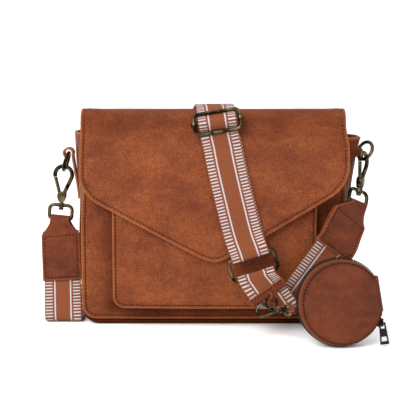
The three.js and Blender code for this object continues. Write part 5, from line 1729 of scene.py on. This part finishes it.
class BAG_OT_flap(BagOperator, bpy.types.Operator):
    """Flap from the back seam over the top to its pointed hem"""
    bl_idname = "bag.flap"
    bl_label = "Flap"

    def build(self, context):
        inset = context.scene.bag_sewing.inset / MM
        grid, distances = flap_grid()
        # The flap carries painted shade towards its top edge
        piece = sewn_panel("flap_leather", grid, distances, at(0, -1, 0.2), FLAP["thick"], inset, 0.6,
                           burnish=FLAP_SHADE["most"] * eased(grid[..., 2], FLAP_SHADE["from"], FLAP_SHADE["full"]))
        finish(piece, TAN, "tan_leather", "flap")
        half = FLAP["half"]
        outline = flap_outline(np.linspace(-half, half, 800), FLAP_TOP, 1.0)
        ahead = np.gradient(outline, axis=0)
        inward = np.stack([-ahead[:, 1], ahead[:, 0]], -1)
        inward /= np.linalg.norm(inward, axis=1, keepdims=True)
        inner = outline + inward * inset
        inner = inner[[np.hypot(*(outline - p).T).min() > inset - 0.15 for p in inner]]
        x, z = inner.T
        drop = (FLAP_TOP - z) / (FLAP_TOP - hem_at(np.sign(x) * half))
        inner[:, 0] = np.sign(x) * np.minimum(np.abs(x), flap_half(x, drop) - inset)
        stitches("flap_stitches", [on_surface(flap_face, even_line(inner), -0.1)], "tan_leather")


class BAG_OT_side_tabs(BagOperator, bpy.types.Operator):
    """Leather tabs that hold the side rings"""
    bl_idname = "bag.side_tabs"
    bl_label = "Side tabs"

    def build(self, context):
        for name, side, ring, from_top in (("tab_left", -1, LEFT_RING, 0), ("tab_right", 1, RIGHT_RING, -105)):
            points, across, halves = ring_tab(side, ring, from_top)
            piece = leather_strip(name + "_leather", points, across, halves, TAB["thick"])
            finish(piece, TAN, "tan_leather", name)


class BAG_OT_rings(BagOperator, bpy.types.Operator):
    """Round rings at the sides and on the patch"""
    bl_idname = "bag.rings"
    bl_label = "Rings"

    def build(self, context):
        rings = (("ring_left", LEFT_RING, SIDE_RING), ("ring_right", RIGHT_RING, SIDE_RING),
                 ("patch_ring", PATCH_RING, SMALL_RING))
        for name, ring, size in rings:
            wire = bent_wire(name + "_metal", size["wire"], (size["radius"], 0), 0,
                             [{"turn": 360, "bend": size["radius"]}], closed=True)
            place = (ring["centre"], ring["along"], np.cross(ring["up"], ring["along"]), ring["up"])
            brass_piece(wire, place, name)


class BAG_OT_clasps(BagOperator, bpy.types.Operator):
    """Swivel clasps of the strap and the pouch: hook, gate and base"""
    bl_idname = "bag.clasps"
    bl_label = "Swivel clasps"

    def build(self, context):
        clasps = (("clasp_left", LEFT_CLASP, "left"), ("clasp_right", RIGHT_CLASP, "right"),
                  ("pouch_clasp", SMALL_CLASP, "pouch"))
        for name, clasp, body in clasps:
            hook, gate, base = name + "_hook", name + "_gate", name + "_base"
            brass_piece(hook_metal(hook + "_metal"), clasp["upper"], hook, body + "_hook")
            brass_piece(gate_metal(gate + "_metal"), clasp["upper"], gate, body + "_gate")
            brass_piece(base_metal(base + "_metal", clasp["base"]), clasp["lower"], base)


class BAG_OT_strap_ends(BagOperator, bpy.types.Operator):
    """Folded leather strap ends with their sewing"""
    bl_idname = "bag.strap_ends"
    bl_label = "Strap ends"

    def build(self, context):
        rows = []
        ends = (("strap_end_left", LEFT_END, LEFT_CLASP), ("strap_end_right", RIGHT_END, RIGHT_CLASP))
        for name, stations, clasp in ends:
            piece, seams = strap_end(name + "_leather", stations, clasp)
            finish(piece, BROWN, "brown_leather", name)
            rows += seams
        stitches("strap_end_stitches", rows)


class BAG_OT_buckle(BagOperator, bpy.types.Operator):
    """Adjusting buckle with its loose bar, and the rectangular strap ring"""
    bl_idname = "bag.buckle"
    bl_label = "Buckle and strap ring"

    def build(self, context):
        place = (BUCKLE_AT, BUCKLE_ACROSS, -BUCKLE_OUT, -BUCKLE_HEADING)
        wire = wire_loop("slider_frame_metal", BUCKLE["width"], BUCKLE["height"], BUCKLE["corner"], BUCKLE["wire"])
        brass_piece(wire, place, "slider_frame")
        rail = BUCKLE["width"] / 2
        bar = post("slider_bar_metal", (-rail, 0, 0), (rail, 0, 0), BUCKLE["bar"], soften=0)
        combine(bar, "UNION", *(upright("eye", -2, 2, BUCKLE["eye_out"], 0.5, x) for x in (-rail, rail)))
        combine(bar, "DIFFERENCE", *(upright("bore", -4, 4, BUCKLE["eye_in"], 0, x) for x in (-rail, rail)))
        brass_piece(bar, place, "slider_bar")
        place = (RING_CENTRE, RING_ACROSS, -RING_OUT, -RING_HEADING)
        wire = wire_loop("strap_ring_metal", STRAP_RING["width"], STRAP_RING["height"], STRAP_RING["corner"],
                         STRAP_RING["wire"])
        brass_piece(wire, place, "strap_ring")


class BAG_OT_patch(BagOperator, bpy.types.Operator):
    """Leather patch on the short webbing and the small loop that holds its ring"""
    bl_idname = "bag.patch"
    bl_label = "Strap patch"

    def build(self, context):
        off = STRAP["thick"] / 2 + GAP + PATCH["thick"] / 2
        half = PATCH["height"] / 2
        points = np.array([arm_front(PATCH["at"] + s, 0, off) for s in np.linspace(-half, half, 9)])
        across = np.tile(unit(arm_front(0, 1, 0) - arm_front(0, 0, 0)), (len(points), 1))
        piece = leather_strip("strap_patch_leather", points, across, PATCH["width"] / 2, PATCH["thick"], 33)
        finish(piece, BROWN, "brown_leather", "strap_patch")
        rows = []
        for s in (-half + 1.7, half - 1.7):
            line = [arm_front(PATCH["at"] + s, q, off + PATCH["thick"] / 2) for q in np.arange(-18.5, 19, 1)]
            rows.append((np.array(line), np.tile(FRONT_OUT, (len(line), 1))))
        stitches("patch_stitches", rows)
        wire_at = PATCH_RING["centre"] + SMALL_UP * SMALL_RING["radius"]
        axis = PATCH_RING["along"]
        axis = -axis if axis[0] < 0 else axis
        out = squared(at(0, -1, 0), axis)
        up = squared(squared(at(0, 0, 1), axis), out)
        stations = [(arm_front(PATCH["at"] + half + 0.6, 1, 2.1), FRONT_ACROSS),
                    (arm_front(PATCH["at"] + half + 2.4, 1, 2.9), FRONT_ACROSS)]
        stations += roll(wire_at, axis, out, up, LOOP["radius"], -140, 130, 9)
        points, across, _ = run(stations, 6)
        piece = leather_strip("patch_loop_leather", points, across, LOOP["width"] / 2, LOOP["thick"], 7, 0.4)
        finish(piece, BROWN, "brown_leather", "patch_loop")


class BAG_OT_pouch(BagOperator, bpy.types.Operator):
    """Round coin pouch: two leather faces, zip, hinge and tab"""
    bl_idname = "bag.pouch"
    bl_label = "Coin pouch"

    def build(self, context):
        for name, sign in (("pouch_front", -1), ("pouch_back", 1)):
            finish(to_frame(pouch_shell(name + "_leather", sign)), BROWN, "brown_leather", name)
        points, across, _ = run(pouch_band(ZIP["radius"], ZIP["from"], ZIP["to"], 60), 3)
        grid, _ = strip_grid(points, across, ZIP["width"] / 2, 7)
        tape = grid_piece("pouch_zip_tape", grid)
        thicken(tape, ZIP["thick"], 0.3)
        tape.data.transform(POUCH_PLACE)
        finish(tape, "black zip tape", "black_zip", "pouch_zip")
        teeth = zip_teeth("pouch_zip_teeth", ZIP["from"] + 1, ZIP["to"] - 1)
        teeth.data.transform(POUCH_PLACE)
        finish(teeth, DARK_METAL, "black_zip")
        finish(to_frame(pouch_hinge("pouch_hinge_leather")), BROWN, "brown_leather", "pouch_hinge")
        rows = []
        turns = np.radians(np.linspace(ZIP["from"], ZIP["to"], 200))
        for sign in (-1, 1):
            ring = [(POUCH_SEAM * math.cos(a) + POUCH_SLIP[0], sign * 6.95,
                     POUCH_SEAM * math.sin(a) + POUCH_SLIP[1]) for a in turns]
            line = np.array([in_frame(*p) for p in ring])
            normal = unit(in_frame(0, sign, 0) - in_frame(0, 0, 0))
            rows.append((line, np.tile(normal, (len(line), 1))))
        stitches("pouch_stitches", rows)
        self.tab()

    def tab(self):
        root = in_frame(-42.9, 3, -6)
        bar, x = SMALL_CLASP["bar"], SMALL_CLASP["turn"]
        radius = CLASP["wire"] * CLASP["small"] + GAP + SMALL_TAB["thick"] / 2 + 0.1
        side = np.cross(SMALL_AXIS, x)
        past = [(bar + side * sign * radius - SMALL_AXIS * 1.6, x) for sign in (1, -1)]
        ends = [(root + side * sign * radius * 0.7, x) for sign in (1, -1)]
        stations = [ends[0], past[0], *roll(bar, x, side, SMALL_AXIS, radius, 0, 180, 6), past[1], ends[1]]
        points, across, _ = run(stations, 6)
        piece = leather_strip("pouch_tab_leather", points, across, SMALL_TAB["width"] / 2, SMALL_TAB["thick"], 7,
                              0.4)
        finish(piece, BROWN, "brown_leather", "pouch_tab")


class BAG_OT_zip_slider(BagOperator, bpy.types.Operator):
    """Zip slider with its staple, and the hanging pull"""
    bl_idname = "bag.zip_slider"
    bl_label = "Zip slider"

    def build(self, context):
        angle, staple_at = SLIDER["angle"], (1.2, -4.2, -0.5)
        middle = at(math.cos(angle), 0, math.sin(angle)) * SLIDER["radius"]
        clear_selection()
        bpy.ops.mesh.primitive_cube_add(size=1, scale=SLIDER["size"])
        body = added("zip_slider_metal")
        round_edges(body, 0.9, 3)
        body.data.transform(Matrix.Rotation(-angle, 4, "Y"))
        staple = bent_wire("staple", SLIDER["wire"], (SLIDER["staple"], 0), 0,
                           [{"turn": 360, "bend": SLIDER["staple"]}], closed=True)
        staple.data.transform(Matrix.Translation(staple_at) @ Matrix.Rotation(math.pi / 2, 4, "Z"))
        combine(body, "UNION", staple)
        smooth(body, CAST_SMOOTH)
        body.data.transform(Matrix.Translation(middle))
        finish(to_frame(body), DARK_METAL, "dark_metal", "zip_slider")
        blank = plate("zip_pull_metal", trapezoid(1, -PULL["length"], PULL["top"] / 2, PULL["low"] / 2),
                      PULL["thick"], 0.4)
        for window in (trapezoid(-0.6, -4.9, 1.7, 2), trapezoid(-12.6, -17, 2.6, 2.9)):
            combine(blank, "DIFFERENCE", plate("window", window, 4, 0))
        smooth(blank, CAST_SMOOTH)
        tilt = Matrix.Rotation(math.radians(PULL["tilt"]), 4, "Y")
        blank.data.transform(Matrix.Translation(middle + at(1.2, -4.5, -0.5)) @ tilt)
        finish(to_frame(blank), DARK_METAL, "dark_metal", "zip_pull", body="pull")


SETTINGS = {
    "bag_sewing": BagSewing,
    "bag_leather": BagLeather,
    "bag_webbing": BagWebbing,
    "bag_metal": BagMetal,
    "bag_stage": BagStage,
}
OPERATORS = (BAG_OT_stage, BAG_OT_webbing, BAG_OT_walls, BAG_OT_pocket, BAG_OT_flap, BAG_OT_side_tabs,
             BAG_OT_rings, BAG_OT_clasps, BAG_OT_strap_ends, BAG_OT_buckle, BAG_OT_patch, BAG_OT_pouch,
             BAG_OT_zip_slider)


class BAG_PT_panel(bpy.types.Panel):
    """Settings and pieces of the bag"""
    bl_idname = "BAG_PT_panel"
    bl_label = "Flap crossbody bag"
    bl_space_type = "VIEW_3D"
    bl_region_type = "UI"
    bl_category = "Bag"

    def draw(self, context):
        for key, group in SETTINGS.items():
            box = self.layout.box()
            for setting in group.__annotations__:
                box.prop(getattr(context.scene, key), setting)
        for operator in OPERATORS:
            self.layout.operator(operator.bl_idname)


CLASSES = (*SETTINGS.values(), *OPERATORS, BAG_PT_panel)


def register():
    for item in CLASSES:
        bpy.utils.register_class(item)
    for key, group in SETTINGS.items():
        setattr(bpy.types.Scene, key, PointerProperty(type=group))


def unregister():
    for key in SETTINGS:
        delattr(bpy.types.Scene, key)
    for item in reversed(CLASSES):
        bpy.utils.unregister_class(item)


def main():
    register()
    bpy.ops.bag.stage()
    bpy.ops.bag.webbing()
    bpy.ops.bag.walls()
    bpy.ops.bag.pocket()
    bpy.ops.bag.flap()
    bpy.ops.bag.side_tabs()
    bpy.ops.bag.rings()
    bpy.ops.bag.clasps()
    bpy.ops.bag.strap_ends()
    bpy.ops.bag.buckle()
    bpy.ops.bag.patch()
    bpy.ops.bag.pouch()
    bpy.ops.bag.zip_slider()
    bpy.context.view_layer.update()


if __name__ == "__main__":
    main()
